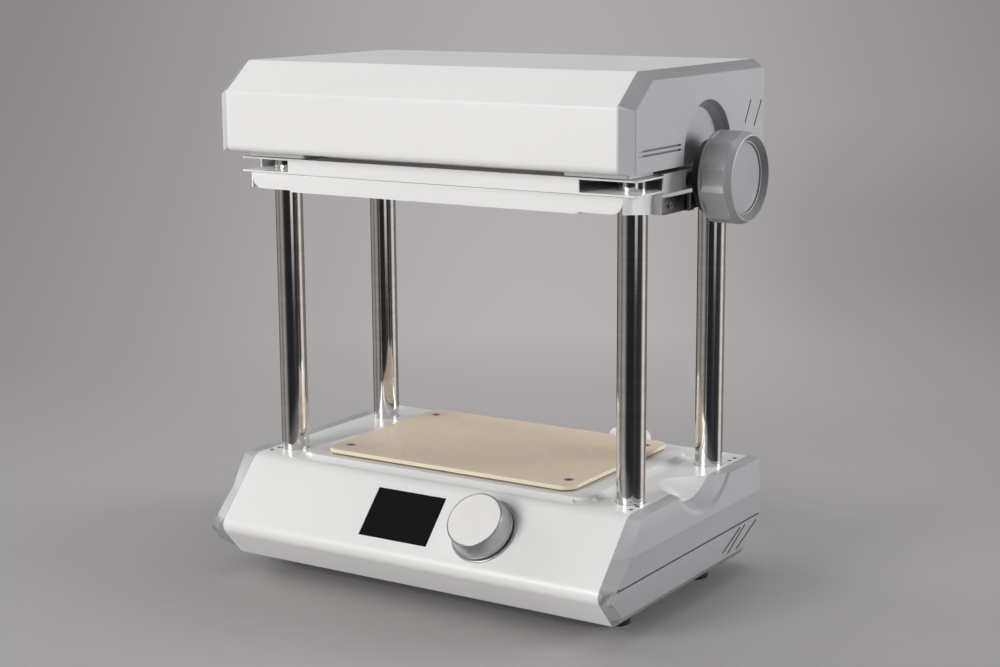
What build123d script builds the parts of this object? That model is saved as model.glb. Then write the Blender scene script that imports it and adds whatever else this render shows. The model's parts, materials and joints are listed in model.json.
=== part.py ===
from build123d import *
from math import radians, sin
import os

os.makedirs("parts", exist_ok=True)

# Vacuum former for dental sheets. A heating head stands on four polished columns over a base with a
# perforated form plate. A sheet carriage slides down the columns, and a side knob works its clamp.
# Millimetres. Origin on the floor, midway between the columns; +X towards the knob, +Y back, +Z up.

# clearances
running = 0.05  # radial clearance of a shaft or a guide
slip = 0.1  # clearance of a part that is fitted once and stays
apart = 0.3  # gap between surfaces that move past or towards each other
hole_ease = 0.4  # radial ease where a column passes through a cover
screw_ease = 0.05  # radial clearance round a screw shank

# columns
column_radius = 10.0
column_x = 143.6
column_y = 58.2
column_chamfer = 1.0
top_bolt_radius = 4.0
top_bolt_depth = 24.0
top_bolt_spare = 1.0
top_bolt_head = 5.3
top_bolt_corner = 7.4  # across the head's corners, as a radius
washer_radius = 12.0
washer_thickness = 2.0

# base casing, seen from the side
ground_gap = 12.0
base_height = 71.4
base_wall = 2.5
seam_overhang = 14.1  # from the column axis to the seam of the side cap
top_front_overhang = 29.1  # these run from the column axis to the corners of the side view
bulge_overhang = 71.9
bottom_front_overhang = 49.3
rear_overhang = 37.8
bulge_height = 25.4
rear_bevel = 12.0
top_front_radius = 12.0
bulge_radius = 8.0
small_radius = 3.0
bottom_lip = 10.0

# back panel of the base, with a flange behind the casing's rear wall
panel_side_margin = 9.0
panel_top_margin = 6.5
panel_bottom_margin = 4.5  # above the rear bevel
panel_flange = 3.0
panel_flange_thickness = 1.2
panel_corner = 4.0

base_top = ground_gap + base_height
base_seam = column_x + seam_overhang
front_top_y = -(column_y + top_front_overhang)
bulge_y = -(column_y + bulge_overhang)
bulge_z = ground_gap + bulge_height
front_bottom_y = -(column_y + bottom_front_overhang)
rear_y = column_y + rear_overhang

# side caps of the base
cap_depth = 11.6
cap_band = 0.5  # flat rim beside the seam, before the bevel starts
cap_top_lean = 0.3  # where the outer face's corners lie, from the corners of the side view
cap_top_drop = 0.4
cap_crease_lean = 14.2
cap_nose_inset = 2.4
cap_nose_drop = 2.2
cap_toe_reach = 8.8  # ahead of the casing's front bottom edge
cap_heel_inset = 17.5
cap_rear_inset = 4.0
cap_rear_rise = 30.0
cap_underside = 10.5  # how far the bevel rises along the bottom edge
crease_height = 47.3
groove_height = 30.1
groove_width = 1.4
groove_depth = 0.8
facet_lean = 1.5
# slanted grooves near the back: y and height above the underside at each end
slanted_grooves = [((58.6, 27.0), (31.5, 15.3)), ((67.0, 27.2), (39.3, 13.0)), ((85.5, 26.2), (53.0, 12.6))]

# scoop that clears the knob at the bottom of its travel
scoop_radius = 41.3
scoop_axis_height = 30.6  # above the base's top
scoop_reach = 22.0  # how far it runs into the casing's top
# the side cap's part of it: centre and radius where its outer bevel starts, and at the outer face
scoop_bevel = 3.2
scoop_lip = (6.0, 32.6, 49.5)
scoop_mouth = (2.0, 34.1, 54.5)

# form plate, its seal and the raised seat
plate_width = 210.0
plate_length = 145.0
plate_thickness = 3.0
plate_corner = 10.0
plate_screw_inset_x = 11.5  # from the plate's edges
plate_screw_inset_y = 17.0
plate_screw_radius = 1.5
plate_screw_head = 3.6
plate_chamfer = 0.6
plate_screw_tail = 3.0  # below the casing's top
cross_length = 3.6
cross_width = 0.8
cross_depth = 1.4
cross_turn = 30
vent_radius = 1.6
vent_pitch_x = 22.0
vent_pitch_y = 22.0
vent_column_count = 8
vent_row_count = 5
seal_thickness = 1.4
seal_inset = 1.5
seal_width = 16.0
throat_margin_x = 3.5  # from the seal's inner edge to the air way under the plate
throat_margin_y = 8.0
seat_height = 3.2
seat_side_margin = 17.0
seat_front_margin = 7.5
seat_rear_margin = 1.5
seat_corner = 12.0
seat_round = 1.2
seat_ledge = 6.0  # how far the seat rests on the deck outside its plug

# small screws outboard of each column
corner_screw_radius = 1.8
corner_screw_length = 4.0
corner_screw_proud = 0.2
corner_screw_out = 9.4
corner_screw_front = 7.9  # from the front columns' axes to the nearer screw
corner_screw_rear = 15.3  # from the rear columns' axes to the nearer screw
corner_screw_pitch = 8.6

# mains inlet, switch, air outlet and cooling slots in the back
inlet_x = -78.0
inlet_lift = 31.0  # both stand this far above the underside
inlet_width = 27.4
inlet_height = 20.0
inlet_depth = 24.0
inlet_rim = 3.0
inlet_rim_thickness = 2.0
inlet_wall = 1.7
inlet_recess = 15.0
inlet_corner = 3.0
blade_thickness = 2.0
blade_width = 4.0
blade_length = 13.0
blade_spread = 7.0
blade_offset = 2.0
blade_root = 1.0
switch_x = -42.0
switch_width = 13.0
switch_height = 19.4
switch_depth = 18.0
switch_rim = 1.0
switch_rim_thickness = 1.6
switch_wall = 1.5
switch_recess = 11.0
rocker_half_width = 4.6
rocker_half_height = 6.4
rocker_pivot_depth = 5.0
rocker_pin_radius = 1.0
rocker_high = 3.6  # how far its pressed-out end stands proud
rocker_low = 1.6
rocker_root = 3.0
outlet_x = 57.0
outlet_lift = 40.0
outlet_radius = 11.0
slot_width = 3.0
slot_length = 26.0
slot_pitch = 8.0
slot_count = 6
cover_radius = 17.0
cover_rise = 6.0  # above the base's top
cover_lift = 4.0  # above the rear bevel
cover_wall = 2.0
cover_round = 6.0
louvre_length = 18.0
louvre_width = 2.6
louvre_pitch = 6.0
louvre_count = 5

# plenum and blower
plenum_depth = 10.9
plenum_wall = 2.0
plenum_margin = 5.0  # around the air way
duct_x = 0.0
duct_radius = 9.0
duct_wall = 1.6
duct_bend = 10.0
blower_x = 22.0
blower_y = 22.0
blower_z = 44.0
blower_radius = 25.0
blower_width = 24.0
blower_wall = 2.0
blower_foot_length = 40.0
neck_x = 34.0
neck_radius = 8.5
neck_wall = 2.0
wheel_radius = 20.0
wheel_width = 13.0
wheel_disc = 1.5
wheel_gap = 3.0
wheel_hub = 2.5
wheel_vane = 1.2
wheel_vane_count = 8
motor_radius = 19.0
motor_length = 52.0
motor_chamfer = 2.0
motor_foot_width = 10.0
motor_foot_length = 24.0
rotor_shaft_radius = 2.5
rotor_shaft_tail = 4.0

# control board and power supply
board_x = -78.0
board_y = -55.0
board_width = 92.0
board_length = 56.0
board_lift = 6.0
board_thickness = 1.6
board_hole_inset = 5.0
standoff_radius = 3.0
chip_size = 16.0
chip_x = -18.0
chip_y = 4.0
relay_width = 22.0
relay_length = 30.0
relay_x = 24.0
block_height = 6.0
capacitor_radius = 5.0
capacitor_height = 13.0
capacitor_x = (-30.0, -12.0)
capacitor_y = -16.0
supply_y = 22.0
supply_width = 86.0
supply_length = 50.0
supply_height = 32.0
supply_chamfer = 1.5
supply_slot_width = 4.0
supply_slot_length = 36.0
supply_slot_pitch = 9.0
supply_slot_count = 8
supply_slot_depth = 2.0

# floor pan, sockets and feet
pan_thickness = 2.0
pan_margin_front = 1.7
pan_margin_rear = 1.5
socket_radius = 13.0
socket_height = 30.0
socket_floor = 2.5
foot_radius = 10.0
foot_x = 139.0
foot_front_overhang = 9.8
foot_rear_overhang = -9.2
foot_step = 1.0
foot_screw_radius = 2.0
foot_recess_radius = 4.8

# display and control dial on the front slope
display_x = -10.8
display_width = 57.3
display_height = 38.2
glass_depth = 1.2
glass_sink = 0.3
module_rim_x = 3.0
module_rim_y = 2.5
module_depth = 6.0
module_inset = 1.0
controls_up = 33.2  # distance of both controls up the slope from the bulge
dial_x = 57.3
dial_height = 14.6
dial_foot_radius = 22.6
dial_top_radius = 20.4
dial_face_radius = 19.4
dial_ring_radius = 24.3
dial_ring_height = 1.2
dial_float = 1.3  # gap under the dial, which its push stroke uses
push_stroke = 0.8
encoder_shaft_radius = 3.0
encoder_bush_radius = 4.5
encoder_body = 14.0
encoder_corner = 1.0
encoder_floor = 1.5
bush_height = 1.0  # the bush stands this far proud of the slope
shaft_foot = -5.5
shaft_grip = 3.0  # how far the shaft's end lies below the dial's top
plunger_thickness = 0.8
plunger_radius = 2.6
dial_skirt = 1.2
dial_edge_drop = 0.8
dial_edge_width = 0.6
dial_rim = 1.0  # how far the face's pocket is sunk, and the face's own edge
dial_face_thickness = 0.8
dial_wall = 2.0
dial_hub = 3.0
dial_crown = 4.0
dial_ring_chamfer = 0.5

# carriage, clamp tray and travel
travel = 186.0
landing_gap = 3.6  # left over the form plate, so the clamp can open at the bottom as well
sheet_thickness = 1.2
carriage_margin_x = 19.4  # from the column axis to the edge of the plates
carriage_margin_y = 29.8
plate_spacing = 9.6
wall_overhang = 1.1  # the side walls run a little past both plates
front_wall_half = 120.0
right_wall_half = 52.0
left_wall_half = 66.0
aperture_width = 196.0
aperture_length = 131.0
collar_ease = 2.0
collar_wall = 1.5
skirt_height = 11.3
tray_side_gap = 13.0  # from the column axis to the tray's side wall
tray_corner_x = 4.9
tray_corner_y = 3.7
gasket_thickness = 1.6
gasket_width = 7.0
bushing_wall = 1.15
bushing_length = 9.0

# clamp linkage: crank, strap and hinge
crank_throw = 2.5
crank_pin_radius = 1.5
crank_pin_gap = 0.2
crank_disc_radius = 9.5
crank_disc_thickness = 3.2
shaft_radius = 4.0
slot_height = 3.3
strap_thickness = 1.6
strap_height = 11.0
strap_drop = 1.8  # below the tray's lip
strap_half_length = 55.2
strap_tab = 11.0
strap_screw_y = 47.0
strap_screw_height = 5.7
skirt_corner = 8.0
wing_drop = 0.2  # the tray's side wings reach past the strap's lower and upper edges
wing_rise = 1.7
strap_ear_margin = 4.6  # metal round the crank's slot
strap_ear_crown = 3.4
strap_ear_corner = 2.0
guide_y = 23.0
guide_radius = 1.8
guide_stand = 0.1
guide_tab = 1.0
guide_proud = 0.7
socket_screw_head = 2.6
socket_screw_thickness = 1.2
socket_hex = 1.2
socket_depth = 0.8
hinge_inset = 3.0
hinge_height = 5.2  # above the bottom of the tray's skirt
hinge_pin_radius = 1.5
hinge_y = 40.0
hinge_lug_half = 4.0
hinge_ear_thickness = 2.0
ear_half_width = 2.4
hinge_pin_end = 0.5

# side knob
knob_axis_drop = 4.5  # below the carriage's top plate
knob_radius = 31.0
knob_depth = 24.0
knob_gap = 0.7
knob_rim = 2.0  # full round lip behind the finger flutes
knob_nose = 5.0  # full round band in front of them
knob_flutes = 10
knob_flute_radius = 40.0
knob_flute_depth = 1.6
knob_face_radius = 23.4
knob_recess = 6.6
knob_lip_chamfer = 0.5
knob_nose_radius = 3.0
knob_ridge_radius = 27.0
knob_shelf = 2.0
knob_shelf_width = 0.8
knob_face_sink = 4.2
knob_face_chamfer = 0.5
flange_radius = 29.0
flange_thickness = 6.6
flange_boss_y = 16.0
flange_boss_radius = 5.0
flange_boss_drop = 1.1
flange_chamfer = 1.2
flange_screw_bite = 0.5
flange_screw_spare = 1.0
screw_radius = 1.5
screw_head_radius = 2.7
screw_head_thickness = 1.6
strap_gap = 0.4  # between the side wall and the strap
crank_gap = 0.6
flange_gap = 0.4
shaft_setback = 5.5  # from the knob's recess to the shaft's end

# head
stop_gap = 0.4  # between the carriage and the head's pads at the top of the travel
pad_height = 4.9
pad_reach_x = 12.4
pad_reach_y = 6.2
pad_inset_y = 2.0
pad_corner = 2.0
head_height = 63.5
head_wall = 2.0
head_front_overhang = 49.4
head_rear_overhang = 33.8
head_seam_overhang = 15.0
head_chamfer_y = 26.6
head_chamfer_z = 21.2
head_rear_chamfer = 5.0
head_front_radius = 5.0
head_rear_radius = 3.0
head_edge_radius = 2.0
head_crown_radius = 1.5
head_front_lip = 11.6
head_rear_lip = 5.0
head_slots_drop = 18.0  # from the head's top to the middle of its air slots
head_cap_depth = 10.2
head_cap_band = 5.0
head_cap_bevel = 5.8
head_cap_front_inset = 7.1
head_cap_front_drop = 2.6
head_cap_brow_inset = 3.0
head_cap_crown_inset = 2.5
head_cap_rear_inset = 5.5
head_cap_rear_drop = 2.8
# grooves of the side caps, from the head's underside
paired_grooves = [14.2, 11.1]
paired_front = 10.6  # from the head's front to where the pair starts
paired_end = -39.5
leaning_grooves = [((65.0, 36.5), (56.5, 21.5)), ((82.0, 35.5), (71.0, 18.5))]
arch_radius = 35.0
arch_axis_height = 6.1
arch_depth = 5.1
head_pan_thickness = 1.5
clamp_size = 26.0
clamp_height = 20.0
clamp_corner = 3.0
heater_width = 214.0
heater_length = 150.0
reflector_height = 31.0
reflector_wall = 1.0
reflector_flange = 9.0
sensor_radius = 4.5
sensor_reach = 7.0  # below the reflector's top
sensor_collar_radius = 7.0
sensor_collar = 1.5
sensor_stem_radius = 3.0
sensor_stem = 5.0
pad_thickness = 8.0
pad_setback = 2.0  # from the reflector's sides
heater_tube_radius = 4.0
heater_tubes_count = 5
heater_tube_pitch = 26.0
heater_tube_height = 17.0
tube_end_gap = 0.5
holder_overhang = 10.0  # past the outer tubes
holder_height = 16.0
holder_thickness = 6.0

# what follows from the sizes above
seat_top = base_top + seat_height
plate_top = seat_top + seal_thickness + plate_thickness
tray_bottom = plate_top + landing_gap + travel
tray_wall_bottom = tray_bottom + sheet_thickness
tray_top = tray_wall_bottom + skirt_height
lower_plate = tray_top + apart
upper_plate = lower_plate + plate_spacing
carriage_top = upper_plate + sheet_thickness
carriage_x = column_x + carriage_margin_x
carriage_y = column_y + carriage_margin_y
pad_bottom = carriage_top + stop_gap
head_bottom = pad_bottom + pad_height
head_top = head_bottom + head_height
head_seam = column_x + head_seam_overhang
head_front_y = -(column_y + head_front_overhang)
head_rear_y = column_y + head_rear_overhang
head_floor = head_bottom + head_wall
head_pan_top = head_floor + head_pan_thickness
knob_z = carriage_top - knob_axis_drop
pan_bottom = ground_gap + base_wall
pan_top = pan_bottom + pan_thickness
column_bottom = pan_top + socket_floor
column_top = head_pan_top + clamp_height
inlet_z = ground_gap + inlet_lift
outlet_z = ground_gap + outlet_lift
column_spots = [(sx * column_x, sy * column_y) for sx in (-1, 1) for sy in (-1, 1)]
plate_screw_x = plate_width / 2 - plate_screw_inset_x
plate_screw_y = plate_length / 2 - plate_screw_inset_y
plate_screw_spots = [(sx * plate_screw_x, sy * plate_screw_y) for sx in (-1, 1) for sy in (-1, 1)]
corner_screw_lines = [
    -(column_y + corner_screw_front),
    -(column_y + corner_screw_front + corner_screw_pitch),
    column_y + corner_screw_rear,
    column_y + corner_screw_rear + corner_screw_pitch,
]
corner_screw_spots = [(sx * (column_x + corner_screw_out), y) for sx in (-1, 1) for y in corner_screw_lines]


def slope_frame():
    # the front slope's plane: x to the right, y up the slope from the bulge, z out of the casing
    rise = Vector(0, front_top_y - bulge_y, base_top - bulge_z).normalized()
    return Plane(origin=(0, bulge_y, bulge_z), x_dir=(1, 0, 0), z_dir=(0, -rise.Z, rise.Y))


slope = slope_frame()


# base

base_points = [
    (front_top_y, base_top),
    (bulge_y, bulge_z),
    (front_bottom_y, ground_gap),
    (rear_y - rear_bevel, ground_gap),
    (rear_y, ground_gap + rear_bevel),
    (rear_y, base_top),
]
base_radii = [top_front_radius, bulge_radius, small_radius, small_radius, small_radius, small_radius]
scoop_z = base_top + scoop_axis_height
scoop_inner_radius = scoop_axis_height

# hollow of the casing: its side view, one wall inside
with BuildPart() as base_hollow:
    with BuildSketch(Plane.YZ.offset(-base_seam)):
        with BuildLine():
            FilletPolyline(*base_points, radius=base_radii, close=True)
        make_face()
        offset(amount=-base_wall)
    extrude(amount=2 * base_seam)
    # the scoop keeps its own wall
    with Locations(Plane(origin=(base_seam - scoop_reach, 0, scoop_z), z_dir=(1, 0, 0))):
        Cone(
            bottom_radius=scoop_inner_radius + base_wall,
            top_radius=scoop_radius + base_wall,
            height=scoop_reach,
            align=(Align.CENTER, Align.CENTER, Align.MIN),
            mode=Mode.SUBTRACT,
        )

seat_width = plate_width + 2 * seat_side_margin
seat_length = plate_length + seat_front_margin + seat_rear_margin
seat_y = (seat_rear_margin - seat_front_margin) / 2
plug_width = seat_width - 2 * seat_ledge
plug_length = seat_length - 2 * seat_ledge
panel_width = 2 * (base_seam - panel_side_margin)
panel_bottom = ground_gap + rear_bevel + panel_bottom_margin
panel_height = base_top - panel_top_margin - panel_bottom
panel_z = panel_bottom + panel_height / 2
throat_width = plate_width - 2 * (seal_inset + seal_width + throat_margin_x)
throat_length = plate_length - 2 * (seal_inset + seal_width + throat_margin_y)

with BuildPart() as base_shell:
    with BuildSketch(Plane.YZ.offset(-base_seam)):
        with BuildLine():
            FilletPolyline(*base_points, radius=base_radii, close=True)
        make_face()
    extrude(amount=2 * base_seam)
    add(base_hollow.part, mode=Mode.SUBTRACT)
    # the floor is open but for a lip along the front and the back
    with Locations((0, (front_bottom_y + rear_y - rear_bevel) / 2, ground_gap)):
        Box(
            2 * base_seam,
            rear_y - rear_bevel - front_bottom_y - 2 * bottom_lip,
            2 * base_wall + small_radius,
            mode=Mode.SUBTRACT,
        )
    # opening in the deck for the seat's plug
    with BuildSketch(Plane.XY.offset(base_top - base_wall)):
        with Locations((0, seat_y)):
            RectangleRounded(plug_width + 2 * slip, plug_length + 2 * slip, seat_corner - seat_ledge + slip)
    extrude(amount=base_wall, mode=Mode.SUBTRACT)
    # opening in the rear wall for the back panel
    with BuildSketch(Plane.XZ.offset(-rear_y)):
        with Locations((0, panel_z)):
            RectangleRounded(panel_width + 2 * slip, panel_height + 2 * slip, panel_corner + slip)
    extrude(amount=base_wall, mode=Mode.SUBTRACT)
    # scoop in the right end of the top
    with Locations(Plane(origin=(base_seam - scoop_reach, 0, scoop_z), z_dir=(1, 0, 0))):
        Cone(
            bottom_radius=scoop_inner_radius,
            top_radius=scoop_radius,
            height=scoop_reach,
            align=(Align.CENTER, Align.CENTER, Align.MIN),
            mode=Mode.SUBTRACT,
        )
    # column holes, and the small screws outboard of each column
    with BuildSketch(Plane.XY.offset(base_top - base_wall)):
        with Locations(*column_spots):
            Circle(column_radius + hole_ease)
        with Locations(*corner_screw_spots):
            Circle(corner_screw_radius + screw_ease)
    extrude(amount=base_wall, mode=Mode.SUBTRACT)
    # display window and encoder hole in the front slope
    with BuildSketch(slope.offset(1)):
        with Locations((display_x, controls_up)):
            Rectangle(display_width + 2 * slip, display_height + 2 * slip)
        with Locations((dial_x, controls_up)):
            Circle(encoder_bush_radius + slip)
    extrude(amount=-2 * base_wall, mode=Mode.SUBTRACT)
base_shell.part.label = "base_shell"
export_step(base_shell.part, "parts/base_shell.step")

# raised seat of the form plate: it rests on the deck, and its plug fills the deck's opening
with BuildPart() as plate_seat:
    with BuildSketch(Plane.XY.offset(base_top)):
        with Locations((0, seat_y)):
            RectangleRounded(seat_width, seat_length, seat_corner)
    extrude(amount=seat_height, taper=30)
    fillet(plate_seat.faces().sort_by(Axis.Z)[-1].outer_wire().edges(), seat_round)
    with BuildSketch(Plane.XY.offset(base_top - base_wall)):
        with Locations((0, seat_y)):
            RectangleRounded(plug_width, plug_length, seat_corner - seat_ledge)
    extrude(amount=base_wall)
    # air way under the form plate, and the plate's screws
    with BuildSketch(Plane.XY.offset(base_top - base_wall)):
        RectangleRounded(throat_width, throat_length, plate_corner)
        with Locations(*plate_screw_spots):
            Circle(plate_screw_radius + screw_ease)
    extrude(amount=base_wall + seat_height, mode=Mode.SUBTRACT)
plate_seat.part.label = "plate_seat"
export_step(plate_seat.part, "parts/plate_seat.step")

# back panel: flush with the casing, held by a flange behind the rear wall
with BuildPart() as base_back:
    with BuildSketch(Plane.XZ.offset(-rear_y)):
        with Locations((0, panel_z)):
            RectangleRounded(panel_width, panel_height, panel_corner)
    extrude(amount=base_wall)
    with BuildSketch(Plane.XZ.offset(-rear_y + base_wall)):
        with Locations((0, panel_z)):
            RectangleRounded(panel_width + 2 * panel_flange, panel_height + 2 * panel_flange, panel_corner)
    extrude(amount=panel_flange_thickness)
    # mains inlet, switch, air outlet and cooling slots
    with BuildSketch(Plane.XZ.offset(-rear_y)):
        with Locations((inlet_x, inlet_z)):
            Rectangle(inlet_width + 2 * slip, inlet_height + 2 * slip)
        with Locations((switch_x, inlet_z)):
            Rectangle(switch_width + 2 * slip, switch_height + 2 * slip)
        with Locations((outlet_x, outlet_z)):
            Circle(outlet_radius)
        with Locations((0, outlet_z)):
            with GridLocations(slot_pitch, 1, slot_count, 1):
                SlotOverall(slot_length, slot_width, rotation=90)
    extrude(amount=base_wall + panel_flange_thickness, mode=Mode.SUBTRACT)
base_back.part.label = "base_back"
export_step(base_back.part, "parts/base_back.step")

# bevelled block that gives the side caps their outer faces
base_face_points = [
    (front_top_y - cap_top_lean, base_top - cap_top_drop),
    (front_top_y - cap_crease_lean, ground_gap + crease_height),
    (bulge_y + cap_nose_inset, bulge_z - cap_nose_drop),
    (front_bottom_y - cap_toe_reach, ground_gap + cap_underside),
    (rear_y - rear_bevel - cap_heel_inset, ground_gap + cap_underside),
    (rear_y - cap_rear_inset, ground_gap + cap_rear_rise),
    (rear_y - cap_rear_inset, base_top - cap_top_drop),
]
slope_share = (base_top - ground_gap - crease_height) / (base_top - bulge_z)
slope_crease = (
    front_top_y + (bulge_y - front_top_y) * slope_share,
    ground_gap + crease_height,
)
base_rim_points = [base_points[0], slope_crease] + base_points[1:]

with BuildPart() as base_bevel_block:
    with BuildSketch(Plane.YZ.offset(base_seam)):
        with BuildLine():
            Polyline(*base_rim_points, close=True)
        make_face()
    extrude(amount=cap_band)
    with BuildSketch(Plane.YZ.offset(base_seam + cap_band)):
        with BuildLine():
            Polyline(*base_rim_points, close=True)
        make_face()
    with BuildSketch(Plane.YZ.offset(base_seam + cap_depth)):
        with BuildLine():
            Polyline(*base_face_points, close=True)
        make_face()
    loft(ruled=True)

outer_face = base_seam + cap_depth
groove_z = ground_gap + groove_height

with BuildPart() as base_cap:
    with BuildSketch(Plane.YZ.offset(base_seam)):
        with BuildLine():
            FilletPolyline(*base_points, radius=base_radii, close=True)
        make_face()
    extrude(amount=cap_depth)
    add(base_bevel_block.part, mode=Mode.INTERSECT)
    # the upper facet leans in above the crease
    with BuildSketch(Plane.XZ.offset(-rear_y)):
        with BuildLine():
            Polyline(
                (outer_face, ground_gap + crease_height),
                (outer_face + facet_lean, ground_gap + crease_height),
                (outer_face + facet_lean, base_top),
                (outer_face - facet_lean, base_top),
                close=True,
            )
        make_face()
    extrude(amount=rear_y - bulge_y, mode=Mode.SUBTRACT)
    # long groove at the height of the bulge, and three slanted grooves near the back
    with BuildSketch(Plane.YZ.offset(outer_face)):
        with Locations(((rear_y + bulge_y) / 2, groove_z)):
            Rectangle(rear_y - bulge_y, groove_width)
        for (y0, z0), (y1, z1) in slanted_grooves:
            SlotCenterPoint(
                ((y0 + y1) / 2, ground_gap + (z0 + z1) / 2),
                (y1, ground_gap + z1),
                groove_width,
            )
    extrude(amount=-groove_depth, mode=Mode.SUBTRACT)

# the scoop widens outwards in the cap, more at the bottom and front than at the back
scoop_rings = [
    (base_seam, 0.0, scoop_axis_height, scoop_radius),
    (outer_face - scoop_bevel, *scoop_lip),
    (outer_face, *scoop_mouth),
]

with BuildPart() as cap_scoop:
    for near, far in zip(scoop_rings[:-1], scoop_rings[1:]):
        for x, y, rise, radius in (near, far):
            with BuildSketch(Plane.YZ.offset(x)):
                with Locations((y, base_top + rise)):
                    Circle(radius)
        loft(ruled=True)

with BuildPart() as base_cap_right:
    add(base_cap.part)
    add(cap_scoop.part, mode=Mode.SUBTRACT)
base_cap_right.part.label = "base_cap_right"
export_step(base_cap_right.part, "parts/base_cap_right.step")

with BuildPart() as base_cap_left:
    add(mirror(base_cap.part, about=Plane.YZ, mode=Mode.PRIVATE))
base_cap_left.part.label = "base_cap_left"
export_step(base_cap_left.part, "parts/base_cap_left.step")

# floor pan with pressed standoffs for the control board
pan_front = front_bottom_y + pan_margin_front
pan_rear = rear_y - rear_bevel - pan_margin_rear
board_spots = [
    (board_x + sx * (board_width / 2 - board_hole_inset), board_y + sy * (board_length / 2 - board_hole_inset))
    for sx in (-1, 1) for sy in (-1, 1)
]
foot_spots = [(sx * foot_x, y) for sx in (-1, 1)
              for y in (-(column_y + foot_front_overhang), column_y + foot_rear_overhang)]

with BuildPart() as base_pan:
    with BuildSketch(Plane.XY.offset(pan_bottom)):
        with Locations((0, (pan_front + pan_rear) / 2)):
            RectangleRounded(2 * base_seam - 2 * slip, pan_rear - pan_front, small_radius)
        with Locations(*foot_spots):
            Circle(foot_screw_radius + screw_ease, mode=Mode.SUBTRACT)
    extrude(amount=pan_thickness)
    with BuildSketch(Plane.XY.offset(pan_top)):
        with Locations(*board_spots):
            Circle(standoff_radius)
    extrude(amount=board_lift)
base_pan.part.label = "base_pan"
export_step(base_pan.part, "parts/base_pan.step")

with BuildPart() as rubber_feet:
    with BuildSketch():
        with Locations(*foot_spots):
            Circle(foot_radius - foot_step)
    extrude(amount=pan_bottom / 2)
    with BuildSketch(Plane.XY.offset(pan_bottom / 2)):
        with Locations(*foot_spots):
            Circle(foot_radius)
    extrude(amount=pan_bottom / 2)
    with BuildSketch():
        with Locations(*foot_spots):
            Circle(foot_screw_radius + screw_ease)
    extrude(amount=pan_bottom, mode=Mode.SUBTRACT)
    with BuildSketch():
        with Locations(*foot_spots):
            Circle(foot_recess_radius)
    extrude(amount=pan_bottom / 2, mode=Mode.SUBTRACT)
rubber_feet.part.label = "rubber_feet"
export_step(rubber_feet.part, "parts/rubber_feet.step")

with BuildPart() as column_sockets:
    with BuildSketch(Plane.XY.offset(pan_top)):
        with Locations(*column_spots):
            Circle(socket_radius)
    extrude(amount=socket_height)
    with BuildSketch(Plane.XY.offset(column_bottom)):
        with Locations(*column_spots):
            Circle(column_radius + running)
    extrude(amount=socket_height, mode=Mode.SUBTRACT)
    # the feet's screws end in the sockets
    with BuildSketch(Plane.XY.offset(pan_top)):
        with Locations(*foot_spots):
            Circle(foot_screw_radius + screw_ease)
    extrude(amount=socket_floor - apart, mode=Mode.SUBTRACT)
column_sockets.part.label = "column_sockets"
export_step(column_sockets.part, "parts/column_sockets.step")

column_names = ["column_rear_left", "column_rear_right", "column_front_left", "column_front_right"]
column_order = [(-column_x, column_y), (column_x, column_y), (-column_x, -column_y), (column_x, -column_y)]
for column_name, (x, y) in zip(column_names, column_order):
    with BuildPart() as column:
        with BuildSketch(Plane.XY.offset(column_bottom)):
            with Locations((x, y)):
                Circle(column_radius)
        extrude(amount=column_top - column_bottom)
        chamfer(column.edges().filter_by(GeomType.CIRCLE), column_chamfer)
        with BuildSketch(Plane.XY.offset(column_top)):
            with Locations((x, y)):
                Circle(top_bolt_radius + screw_ease)
        extrude(amount=-top_bolt_depth - top_bolt_spare, mode=Mode.SUBTRACT)
    column.part.label = column_name
    export_step(column.part, f"parts/{column_name}.step")

# form plate: countersunk at its corners, with a grid of vents over the plenum
plate_bottom = plate_top - plate_thickness
countersink = plate_screw_head - plate_screw_radius

with BuildPart() as form_plate:
    with BuildSketch(Plane.XY.offset(plate_bottom)):
        RectangleRounded(plate_width, plate_length, plate_corner)
        with GridLocations(vent_pitch_x, vent_pitch_y, vent_column_count, vent_row_count):
            Circle(vent_radius, mode=Mode.SUBTRACT)
    extrude(amount=plate_thickness)
    chamfer(form_plate.faces().sort_by(Axis.Z)[-1].outer_wire().edges(), plate_chamfer)
    with Locations(*[(x, y, plate_top) for x, y in plate_screw_spots]):
        CounterSinkHole(
            radius=plate_screw_radius + screw_ease,
            counter_sink_radius=plate_screw_head + screw_ease,
            depth=2 * plate_thickness,
            counter_sink_angle=90,
        )
form_plate.part.label = "form_plate"
export_step(form_plate.part, "parts/form_plate.step")

# the base's screws: four through the form plate, four up through the feet
with BuildPart() as base_screws:
    with Locations(*[(x, y, plate_top - countersink) for x, y in plate_screw_spots]):
        Cone(
            bottom_radius=plate_screw_radius,
            top_radius=plate_screw_head,
            height=countersink,
            align=(Align.CENTER, Align.CENTER, Align.MIN),
        )
    with BuildSketch(Plane.XY.offset(seat_top - base_wall - plate_screw_tail)):
        with Locations(*plate_screw_spots):
            Circle(plate_screw_radius)
    extrude(amount=plate_top - countersink - seat_top + base_wall + plate_screw_tail)
    # cross recess
    with BuildSketch(Plane.XY.offset(plate_top)):
        with Locations(*plate_screw_spots):
            Rectangle(cross_length, cross_width, rotation=cross_turn)
            Rectangle(cross_width, cross_length, rotation=cross_turn)
    extrude(amount=-cross_depth, mode=Mode.SUBTRACT)
    # screws of the feet
    with BuildSketch(Plane.XY.offset(pan_bottom / 2 - foot_screw_radius)):
        with Locations(*foot_spots):
            Circle(2 * foot_screw_radius)
    extrude(amount=foot_screw_radius)
    with BuildSketch(Plane.XY.offset(pan_bottom / 2)):
        with Locations(*foot_spots):
            Circle(foot_screw_radius)
    extrude(amount=pan_bottom / 2 + pan_thickness + socket_floor - 2 * apart)
base_screws.part.label = "base_screws"
export_step(base_screws.part, "parts/base_screws.step")

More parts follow.
